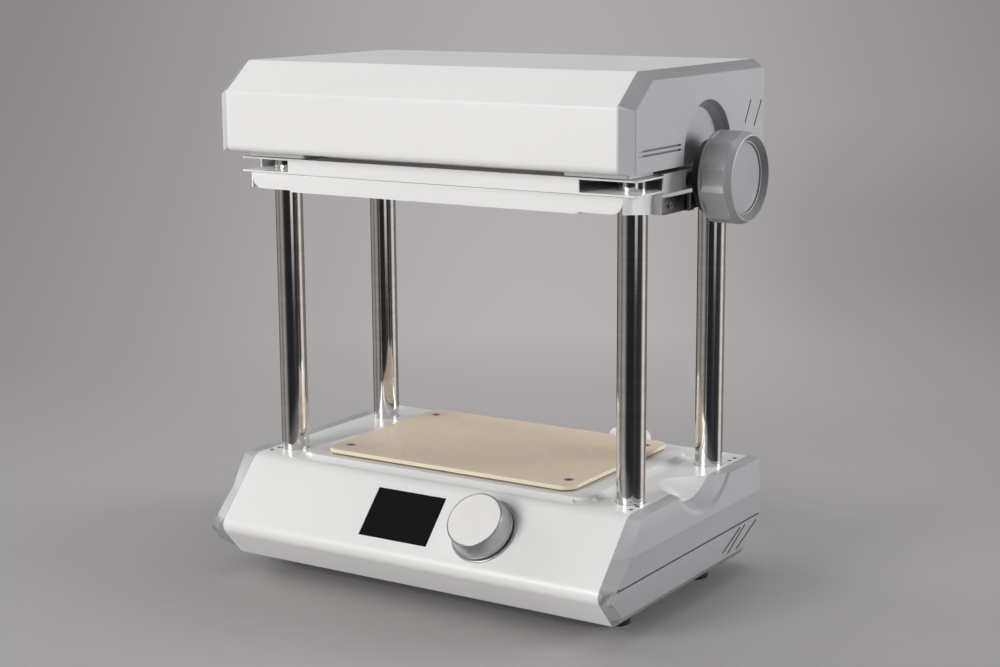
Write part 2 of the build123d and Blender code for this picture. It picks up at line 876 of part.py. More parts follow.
with BuildPart() as plate_seal:
    with BuildSketch(Plane.XY.offset(seat_top)):
        RectangleRounded(plate_width - 2 * seal_inset, plate_length - 2 * seal_inset, plate_corner - seal_inset)
        Rectangle(
            plate_width - 2 * (seal_inset + seal_width),
            plate_length - 2 * (seal_inset + seal_width),
            mode=Mode.SUBTRACT,
        )
        with Locations(*plate_screw_spots):
            Circle(plate_screw_radius + slip, mode=Mode.SUBTRACT)
    extrude(amount=seal_thickness)
plate_seal.part.label = "plate_seal"
export_step(plate_seal.part, "parts/plate_seal.step")

with BuildPart() as corner_screws:
    with BuildSketch(Plane.XY.offset(base_top - corner_screw_length)):
        with Locations(*corner_screw_spots):
            Circle(corner_screw_radius)
    extrude(amount=corner_screw_length + corner_screw_proud)
corner_screws.part.label = "corner_screws"
export_step(corner_screws.part, "parts/corner_screws.step")

# plenum under the form plate, with its outlet in the floor
under_top = base_top - base_wall
plenum_width = throat_width + 2 * plenum_margin
plenum_length = throat_length + 2 * plenum_margin

with BuildPart() as plenum_box:
    with BuildSketch(Plane.XY.offset(under_top - plenum_depth)):
        RectangleRounded(plenum_width, plenum_length, plate_corner)
    extrude(amount=plenum_depth)
    with BuildSketch(Plane.XY.offset(under_top - plenum_depth + plenum_wall)):
        RectangleRounded(
            plenum_width - 2 * plenum_wall,
            plenum_length - 2 * plenum_wall,
            plate_corner - plenum_wall,
        )
    extrude(amount=plenum_depth, mode=Mode.SUBTRACT)
    with BuildSketch(Plane.XY.offset(under_top - plenum_depth)):
        with Locations((duct_x, blower_y)):
            Circle(duct_radius - duct_wall)
    extrude(amount=plenum_wall, mode=Mode.SUBTRACT)
plenum_box.part.label = "plenum_box"
export_step(plenum_box.part, "parts/plenum_box.step")

# blower: the wheel turns about X, the duct turns down from the plenum into its eye
blower_left = Plane(origin=(blower_x, blower_y, blower_z), z_dir=(1, 0, 0))

with BuildPart() as suction_elbow:
    with BuildLine() as elbow_line:
        FilletPolyline(
            (duct_x, blower_y, under_top - plenum_depth),
            (duct_x, blower_y, blower_z),
            (blower_x, blower_y, blower_z),
            radius=duct_bend,
        )
    with BuildSketch(Plane(origin=(duct_x, blower_y, under_top - plenum_depth), z_dir=(0, 0, -1))):
        Circle(duct_radius)
        Circle(duct_radius - duct_wall, mode=Mode.SUBTRACT)
    sweep(path=elbow_line.line)
suction_elbow.part.label = "suction_elbow"
export_step(suction_elbow.part, "parts/suction_elbow.step")

with BuildPart() as blower_housing:
    with BuildSketch(blower_left):
        Circle(blower_radius)
    extrude(amount=blower_width)
    # foot down to the pan
    with Locations((blower_x + blower_width / 2, blower_y, pan_top)):
        Box(blower_width, blower_foot_length, blower_z - pan_top, align=(Align.CENTER, Align.CENTER, Align.MIN))
    # outlet neck towards the back of the casing
    with BuildSketch(Plane(origin=(neck_x, blower_y, outlet_z), z_dir=(0, 1, 0))):
        Circle(neck_radius)
    extrude(amount=rear_y - base_wall - panel_flange_thickness - blower_y)
    with BuildSketch(blower_left.offset(blower_wall)):
        Circle(blower_radius - blower_wall)
    extrude(amount=blower_width - 2 * blower_wall, mode=Mode.SUBTRACT)
    with BuildSketch(blower_left):
        Circle(duct_radius - duct_wall)
    extrude(amount=blower_wall, mode=Mode.SUBTRACT)
    with BuildSketch(blower_left.offset(blower_width - blower_wall)):
        Circle(rotor_shaft_radius + running)
    extrude(amount=blower_wall, mode=Mode.SUBTRACT)
    with BuildSketch(Plane(origin=(neck_x, blower_y + blower_radius - 2 * neck_wall, outlet_z), z_dir=(0, 1, 0))):
        Circle(neck_radius - neck_wall)
    extrude(amount=rear_y - blower_y, mode=Mode.SUBTRACT)
blower_housing.part.label = "blower_housing"
export_step(blower_housing.part, "parts/blower_housing.step")

wheel_start = blower_wall + wheel_gap
with BuildPart() as impeller:
    with BuildSketch(blower_left.offset(wheel_start)):
        Circle(wheel_radius)
        Circle(rotor_shaft_radius, mode=Mode.SUBTRACT)
    extrude(amount=wheel_disc)
    with BuildSketch(blower_left.offset(wheel_start + wheel_disc)):
        Circle(rotor_shaft_radius + wheel_hub)
        with PolarLocations((wheel_radius + rotor_shaft_radius) / 2, wheel_vane_count):
            Rectangle(wheel_radius - rotor_shaft_radius - wheel_hub / 2, wheel_vane)
        Circle(rotor_shaft_radius, mode=Mode.SUBTRACT)
    extrude(amount=wheel_width - wheel_disc)
impeller.part.label = "impeller"
export_step(impeller.part, "parts/impeller.step")

with BuildPart() as motor_shaft:
    with BuildSketch(blower_left.offset(wheel_start)):
        Circle(rotor_shaft_radius)
    extrude(amount=blower_width + motor_length + rotor_shaft_tail - wheel_start)
motor_shaft.part.label = "motor_shaft"
export_step(motor_shaft.part, "parts/motor_shaft.step")

with BuildPart() as blower_motor:
    with BuildSketch(blower_left.offset(blower_width)):
        Circle(motor_radius)
    extrude(amount=motor_length)
    chamfer(blower_motor.edges().filter_by(GeomType.CIRCLE).sort_by(Axis.X)[-1], motor_chamfer)
    with Locations((blower_x + blower_width + motor_length - motor_foot_width, blower_y, pan_top)):
        Box(motor_foot_width, motor_foot_length, blower_z - pan_top, align=(Align.CENTER, Align.CENTER, Align.MIN))
    with BuildSketch(blower_left.offset(blower_width)):
        Circle(rotor_shaft_radius + running)
    extrude(amount=motor_length, mode=Mode.SUBTRACT)
blower_motor.part.label = "blower_motor"
export_step(blower_motor.part, "parts/blower_motor.step")

# boards: the control board on its standoffs, and the power supply in its cage
with BuildPart() as control_board:
    with BuildSketch(Plane.XY.offset(pan_top + board_lift)):
        with Locations((board_x, board_y)):
            Rectangle(board_width, board_length)
    extrude(amount=board_thickness)
    with BuildSketch(Plane.XY.offset(pan_top + board_lift + board_thickness)):
        with Locations((board_x + chip_x, board_y + chip_y)):
            Rectangle(chip_size, chip_size)
        with Locations((board_x + relay_x, board_y)):
            Rectangle(relay_width, relay_length)
    extrude(amount=block_height)
    with BuildSketch(Plane.XY.offset(pan_top + board_lift + board_thickness)):
        with Locations(*[(board_x + x, board_y + capacitor_y) for x in capacitor_x]):
            Circle(capacitor_radius)
    extrude(amount=capacitor_height)
control_board.part.label = "control_board"
export_step(control_board.part, "parts/control_board.step")

with BuildPart() as power_supply:
    with Locations((board_x, supply_y, pan_top)):
        Box(supply_width, supply_length, supply_height, align=(Align.CENTER, Align.CENTER, Align.MIN))
    chamfer(power_supply.edges().filter_by(Axis.Z), supply_chamfer)
    with BuildSketch(Plane.XY.offset(pan_top + supply_height)):
        with Locations((board_x, supply_y)):
            with GridLocations(supply_slot_pitch, 1, supply_slot_count, 1):
                SlotOverall(supply_slot_length, supply_slot_width, rotation=90)
    extrude(amount=-supply_slot_depth, mode=Mode.SUBTRACT)
power_supply.part.label = "power_supply"
export_step(power_supply.part, "parts/power_supply.step")

# mains inlet with three blades in its recess
with BuildPart() as mains_inlet:
    with BuildSketch(Plane.XZ.offset(-rear_y)):
        with Locations((inlet_x, inlet_z)):
            Rectangle(inlet_width, inlet_height)
    extrude(amount=inlet_depth)
    with BuildSketch(Plane.XZ.offset(-rear_y)):
        with Locations((inlet_x, inlet_z)):
            RectangleRounded(inlet_width + 2 * inlet_rim, inlet_height + 2 * inlet_rim, inlet_corner)
    extrude(amount=-inlet_rim_thickness)
    with BuildSketch(Plane.XZ.offset(-rear_y - inlet_rim_thickness)):
        with Locations((inlet_x, inlet_z)):
            RectangleRounded(inlet_width - 2 * inlet_wall, inlet_height - 2 * inlet_wall, inlet_corner)
    extrude(amount=inlet_recess + inlet_rim_thickness, mode=Mode.SUBTRACT)
    # the outer blades sit low, the earth blade high; all are rooted a little into the recess's floor
    with BuildSketch(Plane.XZ.offset(-rear_y + inlet_recess + blade_root)):
        with Locations(
            (inlet_x - blade_spread, inlet_z - blade_offset),
            (inlet_x + blade_spread, inlet_z - blade_offset),
            (inlet_x, inlet_z + blade_offset),
        ):
            Rectangle(blade_thickness, blade_width)
    extrude(amount=-blade_length)
mains_inlet.part.label = "mains_inlet"
export_step(mains_inlet.part, "parts/mains_inlet.step")

# power switch: a body with a rocker on its own pivot
pin_half_length = switch_width / 2 - 2 * apart
with BuildPart() as switch_body:
    with BuildSketch(Plane.XZ.offset(-rear_y)):
        with Locations((switch_x, inlet_z)):
            Rectangle(switch_width, switch_height)
    extrude(amount=switch_depth)
    with BuildSketch(Plane.XZ.offset(-rear_y)):
        with Locations((switch_x, inlet_z)):
            RectangleRounded(switch_width + 2 * switch_rim, switch_height + 2 * switch_rim, switch_wall)
    extrude(amount=-switch_rim_thickness)
    with BuildSketch(Plane.XZ.offset(-rear_y - switch_rim_thickness)):
        with Locations((switch_x, inlet_z)):
            Rectangle(switch_width - 2 * switch_wall, switch_height - 2 * switch_wall)
    extrude(amount=switch_recess + switch_rim_thickness, mode=Mode.SUBTRACT)
    with BuildSketch(Plane.YZ.offset(switch_x - pin_half_length - slip)):
        with Locations((rear_y - rocker_pivot_depth, inlet_z)):
            Circle(rocker_pin_radius + running)
    extrude(amount=2 * (pin_half_length + slip), mode=Mode.SUBTRACT)
switch_body.part.label = "switch_body"
export_step(switch_body.part, "parts/switch_body.step")

with BuildPart() as switch_rocker:
    with BuildSketch(Plane.YZ.offset(switch_x - rocker_half_width)):
        with BuildLine():
            Polyline(
                (rear_y - rocker_pivot_depth - 2 * rocker_pin_radius, inlet_z - rocker_root),
                (rear_y - switch_wall, inlet_z - rocker_half_height),
                (rear_y + rocker_high, inlet_z - rocker_half_height),
                (rear_y + rocker_low, inlet_z),
                (rear_y + rocker_low, inlet_z + rocker_half_height),
                (rear_y - switch_wall, inlet_z + rocker_half_height),
                (rear_y - rocker_pivot_depth - 2 * rocker_pin_radius, inlet_z + rocker_root),
                close=True,
            )
        make_face()
    extrude(amount=2 * rocker_half_width)
    with BuildSketch(Plane.YZ.offset(switch_x - pin_half_length)):
        with Locations((rear_y - rocker_pivot_depth, inlet_z)):
            Circle(rocker_pin_radius)
    extrude(amount=2 * pin_half_length)
switch_rocker.part.label = "switch_rocker"
export_step(switch_rocker.part, "parts/switch_rocker.step")

# rounded cover over the air outlet, open through louvres at its back
cover_top = base_top + cover_rise
cover_bottom = ground_gap + rear_bevel + cover_lift
with BuildPart() as exhaust_cover:
    with BuildSketch(Plane.XY.offset(cover_bottom)):
        with Locations((outlet_x, rear_y)):
            Circle(cover_radius)
            with Locations((0, -cover_radius)):
                Rectangle(2 * cover_radius, 2 * cover_radius, mode=Mode.SUBTRACT)
    extrude(amount=cover_top - cover_bottom)
    fillet(exhaust_cover.edges().group_by(Axis.Z)[-1].filter_by(GeomType.CIRCLE), cover_round)
    with BuildSketch(Plane.XY.offset(cover_bottom + cover_wall)):
        with Locations((outlet_x, rear_y)):
            Circle(cover_radius - cover_wall)
            with Locations((0, -cover_radius)):
                Rectangle(2 * cover_radius, 2 * cover_radius, mode=Mode.SUBTRACT)
    extrude(amount=base_top - cover_bottom - cover_round - cover_wall, mode=Mode.SUBTRACT)
    with BuildSketch(Plane.XZ.offset(-rear_y - cover_radius)):
        with Locations((outlet_x, outlet_z - 2 * cover_wall)):
            with GridLocations(1, louvre_pitch, 1, louvre_count):
                SlotOverall(louvre_length, louvre_width)
    extrude(amount=cover_radius / 2, mode=Mode.SUBTRACT)
exhaust_cover.part.label = "exhaust_cover"
export_step(exhaust_cover.part, "parts/exhaust_cover.step")

# display and dial on the front slope

display_spot = (display_x, controls_up)
dial_spot = (dial_x, controls_up)

with BuildPart() as display_glass:
    with BuildSketch(slope.offset(-glass_sink)):
        with Locations(display_spot):
            Rectangle(display_width, display_height)
    extrude(amount=-glass_depth)
display_glass.part.label = "display_glass"
export_step(display_glass.part, "parts/display_glass.step")

with BuildPart() as display_module:
    with BuildSketch(slope.offset(-base_wall)):
        with Locations(display_spot):
            Rectangle(display_width + 2 * module_rim_x, display_height + 2 * module_rim_y)
    extrude(amount=-module_depth)
    with BuildSketch(slope.offset(-base_wall)):
        with Locations(display_spot):
            Rectangle(display_width - 2 * module_inset, display_height - 2 * module_inset)
    extrude(amount=base_wall - glass_sink - glass_depth)
display_module.part.label = "display_module"
export_step(display_module.part, "parts/display_module.step")

bore_floor = shaft_foot - running - plunger_thickness - push_stroke - apart
dial_bottom = dial_ring_height + dial_float
dial_top = dial_bottom + dial_height

with BuildPart() as encoder_case:
    with BuildSketch(slope.offset(-base_wall)):
        with Locations(dial_spot):
            RectangleRounded(encoder_body, encoder_body, encoder_corner)
    extrude(amount=bore_floor - encoder_floor + base_wall)
    with BuildSketch(slope.offset(-base_wall)):
        with Locations(dial_spot):
            Circle(encoder_bush_radius)
    extrude(amount=base_wall + bush_height)
    with BuildSketch(slope.offset(bush_height)):
        with Locations(dial_spot):
            Circle(encoder_shaft_radius + running)
    extrude(amount=bore_floor - bush_height, mode=Mode.SUBTRACT)
encoder_case.part.label = "encoder_case"
export_step(encoder_case.part, "parts/encoder_case.step")

with BuildPart() as encoder_plunger:
    with BuildSketch(slope.offset(shaft_foot - running)):
        with Locations(dial_spot):
            Circle(plunger_radius)
    extrude(amount=-plunger_thickness)
encoder_plunger.part.label = "encoder_plunger"
export_step(encoder_plunger.part, "parts/encoder_plunger.step")

with BuildPart() as encoder_shaft:
    with BuildSketch(slope.offset(shaft_foot)):
        with Locations(dial_spot):
            Circle(encoder_shaft_radius)
    extrude(amount=dial_top - shaft_grip - shaft_foot)
encoder_shaft.part.label = "encoder_shaft"
export_step(encoder_shaft.part, "parts/encoder_shaft.step")

dial_axis_plane = Plane(origin=slope.from_local_coords((dial_x, controls_up, 0)), x_dir=(1, 0, 0),
                        z_dir=-slope.y_dir)
dial_axis = Axis(origin=dial_axis_plane.origin, direction=slope.z_dir)
with BuildPart() as control_dial:
    with BuildSketch(dial_axis_plane):
        with BuildLine():
            Polyline(
                (encoder_shaft_radius, dial_bottom),
                (dial_foot_radius, dial_bottom),
                (dial_foot_radius, dial_bottom + dial_skirt),
                (dial_top_radius, dial_top - dial_edge_drop),
                (dial_top_radius - dial_edge_width, dial_top),
                (dial_face_radius, dial_top),
                (dial_face_radius, dial_top - dial_rim),
                (encoder_shaft_radius - dial_rim, dial_top - dial_rim),
                (encoder_shaft_radius - dial_rim, dial_top - shaft_grip),
                (encoder_shaft_radius, dial_top - shaft_grip),
                close=True,
            )
        make_face()
    revolve(axis=dial_axis)
    # hollow skirt
    with BuildSketch(slope.offset(dial_bottom)):
        with Locations(dial_spot):
            Circle(dial_top_radius - dial_wall)
            Circle(encoder_shaft_radius + dial_hub, mode=Mode.SUBTRACT)
    extrude(amount=dial_height - dial_crown, mode=Mode.SUBTRACT)
control_dial.part.label = "control_dial"
export_step(control_dial.part, "parts/control_dial.step")

with BuildPart() as dial_face:
    with BuildSketch(slope.offset(dial_top - dial_rim)):
        with Locations(dial_spot):
            Circle(dial_face_radius - running)
    extrude(amount=dial_face_thickness)
dial_face.part.label = "dial_face"
export_step(dial_face.part, "parts/dial_face.step")

with BuildPart() as dial_ring:
    with BuildSketch(slope):
        with Locations(dial_spot):
            Circle(dial_ring_radius)
            Circle(encoder_bush_radius + slip, mode=Mode.SUBTRACT)
    extrude(amount=dial_ring_height)
    chamfer(dial_ring.faces().sort_by(dial_axis)[-1].outer_wire().edges(), dial_ring_chamfer)
dial_ring.part.label = "dial_ring"
export_step(dial_ring.part, "parts/dial_ring.step")

# head

head_points = [
    (head_front_y, head_bottom),
    (head_front_y, head_top - head_chamfer_z),
    (head_front_y + head_chamfer_y, head_top),
    (head_rear_y - head_rear_chamfer, head_top),
    (head_rear_y, head_top - head_rear_chamfer),
    (head_rear_y, head_bottom),
]
head_radii = [
    head_front_radius, head_edge_radius, head_edge_radius, head_crown_radius, head_crown_radius, head_rear_radius
]

with BuildPart() as head_shell:
    with BuildSketch(Plane.YZ.offset(-head_seam)):
        with BuildLine():
            FilletPolyline(*head_points, radius=head_radii, close=True)
        make_face()
    extrude(amount=2 * head_seam)
    with BuildSketch(Plane.YZ.offset(-head_seam)):
        with BuildLine():
            FilletPolyline(*head_points, radius=head_radii, close=True)
        make_face()
        offset(amount=-head_wall)
    extrude(amount=2 * head_seam, mode=Mode.SUBTRACT)
    # open underneath, with a lip at the front and the back to carry the pan
    with Locations((0, head_front_y + head_front_lip, head_bottom)):
        Box(
            2 * head_seam,
            head_rear_y - head_front_y - head_front_lip - head_rear_lip,
            2 * head_wall + head_front_radius,
            align=(Align.CENTER, Align.MIN, Align.CENTER),
            mode=Mode.SUBTRACT,
        )
    # air slots in the back
    with BuildSketch(Plane.XZ.offset(-head_rear_y)):
        with Locations((0, head_top - head_slots_drop)):
            with GridLocations(slot_pitch, 1, 2 * slot_count, 1):
                SlotOverall(slot_length / 2, slot_width, rotation=90)
    extrude(amount=head_wall, mode=Mode.SUBTRACT)
head_shell.part.label = "head_shell"
export_step(head_shell.part, "parts/head_shell.step")

# the caps of the head: a rim, then a bevel round every edge but the bottom one
below = head_bottom - head_cap_depth
head_rim_points = [(head_front_y, below)] + head_points[1:5] + [(head_rear_y, below)]
head_face_points = [
    (head_front_y + head_cap_front_inset, below),
    (head_front_y + head_cap_front_inset, head_top - head_chamfer_z - head_cap_front_drop),
    (head_front_y + head_chamfer_y + head_cap_brow_inset, head_top - head_cap_bevel),
    (head_rear_y - head_rear_chamfer - head_cap_crown_inset, head_top - head_cap_bevel),
    (head_rear_y - head_cap_rear_inset, head_top - head_rear_chamfer - head_cap_rear_drop),
    (head_rear_y - head_cap_rear_inset, below),
]
head_face = head_seam + head_cap_depth

with BuildPart() as head_bevel_block:
    with BuildSketch(Plane.YZ.offset(head_seam)):
        with BuildLine():
            Polyline(*head_rim_points, close=True)
        make_face()
    extrude(amount=head_cap_band)
    with BuildSketch(Plane.YZ.offset(head_seam + head_cap_band)):
        with BuildLine():
            Polyline(*head_rim_points, close=True)
        make_face()
    with BuildSketch(Plane.YZ.offset(head_face)):
        with BuildLine():
            Polyline(*head_face_points, close=True)
        make_face()
    loft(ruled=True)

paired_start = head_front_y + paired_front

with BuildPart() as head_cap:
    with BuildSketch(Plane.YZ.offset(head_seam)):
        with BuildLine():
            FilletPolyline(*head_points, radius=head_radii, close=True)
        make_face()
    extrude(amount=head_cap_depth)
    add(head_bevel_block.part, mode=Mode.INTERSECT)
    with BuildSketch(Plane.YZ.offset(head_face)):
        for height in paired_grooves:
            with Locations(((paired_start + paired_end) / 2, head_bottom + height)):
                SlotOverall(paired_end - paired_start, groove_width)
        for (y0, z0), (y1, z1) in leaning_grooves:
            SlotCenterPoint(
                ((y0 + y1) / 2, head_bottom + (z0 + z1) / 2),
                (y1, head_bottom + z1),
                groove_width,
            )
    extrude(amount=-groove_depth, mode=Mode.SUBTRACT)

# arched recess round the knob, narrowing towards its back wall
arch_z = head_bottom + arch_axis_height
with BuildPart() as head_cap_right:
    add(head_cap.part)
    with BuildSketch(Plane.YZ.offset(head_face)):
        with Locations((0, arch_z)):
            Circle(arch_radius)
        with Locations((0, arch_z - arch_radius)):
            Rectangle(2 * arch_radius, 2 * arch_radius)
    with BuildSketch(Plane.YZ.offset(head_face - arch_depth)):
        with Locations((0, arch_z)):
            Circle(arch_radius - arch_depth)
        with Locations((0, arch_z - arch_radius)):
            Rectangle(2 * (arch_radius - arch_depth), 2 * arch_radius)
    loft(ruled=True, mode=Mode.SUBTRACT)
head_cap_right.part.label = "head_cap_right"
export_step(head_cap_right.part, "parts/head_cap_right.step")

with BuildPart() as head_cap_left:
    add(mirror(head_cap.part, about=Plane.YZ, mode=Mode.PRIVATE))
head_cap_left.part.label = "head_cap_left"
export_step(head_cap_left.part, "parts/head_cap_left.step")

# pan over the opening: it carries the clamps and the heater
head_pan_front = head_front_y + head_front_radius + slip
head_pan_rear = head_rear_y - head_rear_radius - slip
with BuildPart() as head_pan:
    with BuildSketch(Plane.XY.offset(head_floor)):
        with Locations((0, (head_pan_front + head_pan_rear) / 2)):
            RectangleRounded(2 * head_seam - 2 * slip, head_pan_rear - head_pan_front, small_radius)
        Rectangle(heater_width, heater_length, mode=Mode.SUBTRACT)
        with Locations(*column_spots):
            Circle(column_radius + hole_ease, mode=Mode.SUBTRACT)
    extrude(amount=head_pan_thickness)
head_pan.part.label = "head_pan"
export_step(head_pan.part, "parts/head_pan.step")

pad_inner_x = heater_width / 2
pad_outer_x = column_x + pad_reach_x
pad_inner_y = column_y - pad_reach_y
pad_outer_y = carriage_y - pad_inset_y
with BuildPart() as head_corner_pads:
    with BuildSketch(Plane.XY.offset(pad_bottom)):
        for x, y in column_spots:
            side = 1 if x > 0 else -1
            fore = 1 if y > 0 else -1
            with Locations((side * (pad_inner_x + pad_outer_x) / 2, fore * (pad_inner_y + pad_outer_y) / 2)):
                RectangleRounded(pad_outer_x - pad_inner_x, pad_outer_y - pad_inner_y, pad_corner)
        with Locations(*column_spots):
            Circle(column_radius + hole_ease, mode=Mode.SUBTRACT)
    extrude(amount=head_floor - pad_bottom)
head_corner_pads.part.label = "head_corner_pads"
export_step(head_corner_pads.part, "parts/head_corner_pads.step")

with BuildPart() as column_clamps:
    with BuildSketch(Plane.XY.offset(head_pan_top)):
        with Locations(*column_spots):
            RectangleRounded(clamp_size, clamp_size, clamp_corner)
            Circle(column_radius + running, mode=Mode.SUBTRACT)
    extrude(amount=clamp_height)
column_clamps.part.label = "column_clamps"
export_step(column_clamps.part, "parts/column_clamps.step")

with BuildPart() as column_top_bolts:
    with BuildSketch(Plane.XY.offset(column_top - top_bolt_depth)):
        with Locations(*column_spots):
            Circle(top_bolt_radius)
    extrude(amount=top_bolt_depth)
    with BuildSketch(Plane.XY.offset(column_top)):
        with Locations(*column_spots):
            Circle(washer_radius)
    extrude(amount=washer_thickness)
    with BuildSketch(Plane.XY.offset(column_top + washer_thickness)):
        with Locations(*column_spots):
            RegularPolygon(radius=top_bolt_corner, side_count=6)
    extrude(amount=top_bolt_head)
column_top_bolts.part.label = "column_top_bolts"
export_step(column_top_bolts.part, "parts/column_top_bolts.step")

# heater: a reflector open at the bottom, five tubes in two holders, insulation and a sensor on top
reflector_top = head_pan_top + reflector_height + reflector_wall
with BuildPart() as heater_reflector:
    with BuildSketch(Plane.XY.offset(head_pan_top)):
        Rectangle(heater_width + 2 * reflector_wall, heater_length + 2 * reflector_wall)
    extrude(amount=reflector_top - head_pan_top)
    with BuildSketch(Plane.XY.offset(head_pan_top)):
        Rectangle(heater_width + 2 * reflector_flange, heater_length + 2 * reflector_flange)
    extrude(amount=reflector_wall)
    with BuildSketch(Plane.XY.offset(head_pan_top)):
        Rectangle(heater_width, heater_length)
    extrude(amount=reflector_height, mode=Mode.SUBTRACT)
    with BuildSketch(Plane.XY.offset(reflector_top)):
        Circle(sensor_radius + slip)
    extrude(amount=-reflector_wall, mode=Mode.SUBTRACT)
heater_reflector.part.label = "heater_reflector"
export_step(heater_reflector.part, "parts/heater_reflector.step")

tube_z = head_pan_top + heater_tube_height
tube_reach = heater_width / 2 - tube_end_gap
tube_rows = [(i - (heater_tubes_count - 1) / 2) * heater_tube_pitch for i in range(heater_tubes_count)]
with BuildPart() as heater_tubes:
    with BuildSketch(Plane.YZ.offset(-tube_reach)):
        with Locations(*[(y, tube_z) for y in tube_rows]):
            Circle(heater_tube_radius)
    extrude(amount=2 * tube_reach)
heater_tubes.part.label = "heater_tubes"
export_step(heater_tubes.part, "parts/heater_tubes.step")

with BuildPart() as tube_holders:
    for side in (-1, 1):
        with Locations((side * (heater_width / 2 - holder_thickness / 2), 0, tube_z)):
            Box(
                holder_thickness,
                (heater_tubes_count - 1) * heater_tube_pitch + 2 * holder_overhang,
                holder_height,
            )
    with BuildSketch(Plane.YZ.offset(-heater_width / 2)):
        with Locations(*[(y, tube_z) for y in tube_rows]):
            Circle(heater_tube_radius + running)
    extrude(amount=heater_width, mode=Mode.SUBTRACT)
tube_holders.part.label = "tube_holders"
export_step(tube_holders.part, "parts/tube_holders.step")

with BuildPart() as insulation_pad:
    with BuildSketch(Plane.XY.offset(reflector_top)):
        Rectangle(heater_width - 2 * pad_setback, heater_length - 2 * pad_setback)
        Circle(sensor_radius + slip, mode=Mode.SUBTRACT)
    extrude(amount=pad_thickness)
insulation_pad.part.label = "insulation_pad"
export_step(insulation_pad.part, "parts/insulation_pad.step")

with BuildPart() as temperature_sensor:
    with BuildSketch(Plane.XY.offset(reflector_top - sensor_reach)):
        Circle(sensor_radius)
    extrude(amount=sensor_reach + pad_thickness)
    with BuildSketch(Plane.XY.offset(reflector_top + pad_thickness)):
        Circle(sensor_collar_radius)
    extrude(amount=sensor_collar)
    with BuildSketch(Plane.XY.offset(reflector_top + pad_thickness)):
        Circle(sensor_stem_radius)
    extrude(amount=sensor_stem)
temperature_sensor.part.label = "temperature_sensor"
export_step(temperature_sensor.part, "parts/temperature_sensor.step")

# carriage

collar_width = aperture_width + 2 * collar_ease
collar_length = aperture_length + 2 * collar_ease
gasket_top = tray_wall_bottom + gasket_thickness
collar_bottom = gasket_top + apart
hinge_x = -(column_x + tray_side_gap + sheet_thickness / 2 + hinge_inset)
hinge_z = tray_wall_bottom + hinge_height
bushing_radius = column_radius + bushing_wall + running
flange_z = knob_z - flange_boss_drop

with BuildPart() as carriage_frame:
    # the two plates
    with BuildSketch(Plane.XY.offset(lower_plate)):
        RectangleRounded(2 * carriage_x, 2 * carriage_y, small_radius)
    extrude(amount=sheet_thickness)
    with BuildSketch(Plane.XY.offset(upper_plate)):
        RectangleRounded(2 * carriage_x, 2 * carriage_y, small_radius)
    extrude(amount=sheet_thickness)
    # front and back walls; the corners between the plates stay open
    for fore in (-1, 1):
        with Locations((0, fore * (carriage_y - sheet_thickness / 2), lower_plate)):
            Box(2 * front_wall_half, sheet_thickness, carriage_top - lower_plate,
                align=(Align.CENTER, Align.CENTER, Align.MIN))
    # side walls
    for side, half in ((1, right_wall_half), (-1, left_wall_half)):
        with Locations((side * (carriage_x - sheet_thickness / 2), 0, lower_plate - wall_overhang)):
            Box(sheet_thickness, 2 * half, carriage_top - lower_plate + 2 * wall_overhang,
                align=(Align.CENTER, Align.CENTER, Align.MIN))
    # collar that presses the sheet onto the tray's gasket
    with BuildSketch(Plane.XY.offset(collar_bottom)):
        Rectangle(collar_width + 2 * collar_wall, collar_length + 2 * collar_wall)
    extrude(amount=carriage_top - collar_bottom)
    with BuildSketch(Plane.XY.offset(collar_bottom)):
        Rectangle(collar_width, collar_length)
    extrude(amount=carriage_top - collar_bottom, mode=Mode.SUBTRACT)
    # ears for the tray's hinge
    for fore in (-1, 1):
        for out in (-1, 1):
            ear_y = fore * hinge_y + out * (hinge_lug_half + apart + hinge_ear_thickness / 2)
            with Locations((hinge_x, ear_y, hinge_z - ear_half_width)):
                Box(2 * ear_half_width, hinge_ear_thickness, lower_plate - hinge_z + ear_half_width,
                    align=(Align.CENTER, Align.CENTER, Align.MIN))
    with BuildSketch(Plane.XZ.offset(-2 * hinge_y)):
        with Locations((hinge_x, hinge_z)):
            Circle(hinge_pin_radius + running / 2)
    extrude(amount=4 * hinge_y, mode=Mode.SUBTRACT)
    # column holes
    with BuildSketch(Plane.XY.offset(lower_plate)):
        with Locations(*column_spots):
            Circle(column_radius + hole_ease)
    extrude(amount=carriage_top - lower_plate, mode=Mode.SUBTRACT)
    # screw holes of the flange
    with BuildSketch(Plane.YZ.offset(carriage_x)):
        with Locations((-flange_boss_y, flange_z), (flange_boss_y, flange_z)):
            Circle(screw_radius + screw_ease)
    extrude(amount=-sheet_thickness, mode=Mode.SUBTRACT)
carriage_frame.part.label = "carriage_frame"
export_step(carriage_frame.part, "parts/carriage_frame.step")

with BuildPart() as column_bushings:
    with BuildSketch(Plane.XY.offset(lower_plate - bushing_length)):
        with Locations(*column_spots):
            Circle(bushing_radius)
            Circle(column_radius + running, mode=Mode.SUBTRACT)
    extrude(amount=bushing_length)
column_bushings.part.label = "column_bushings"
export_step(column_bushings.part, "parts/column_bushings.step")

pin_half = hinge_lug_half + apart + hinge_ear_thickness + hinge_pin_end
with BuildPart() as hinge_pins:
    for fore in (-1, 1):
        with BuildSketch(Plane.XZ.offset(-fore * hinge_y - pin_half)):
            with Locations((hinge_x, hinge_z)):
                Circle(hinge_pin_radius)
        extrude(amount=2 * pin_half)
hinge_pins.part.label = "hinge_pins"
export_step(hinge_pins.part, "parts/hinge_pins.step")

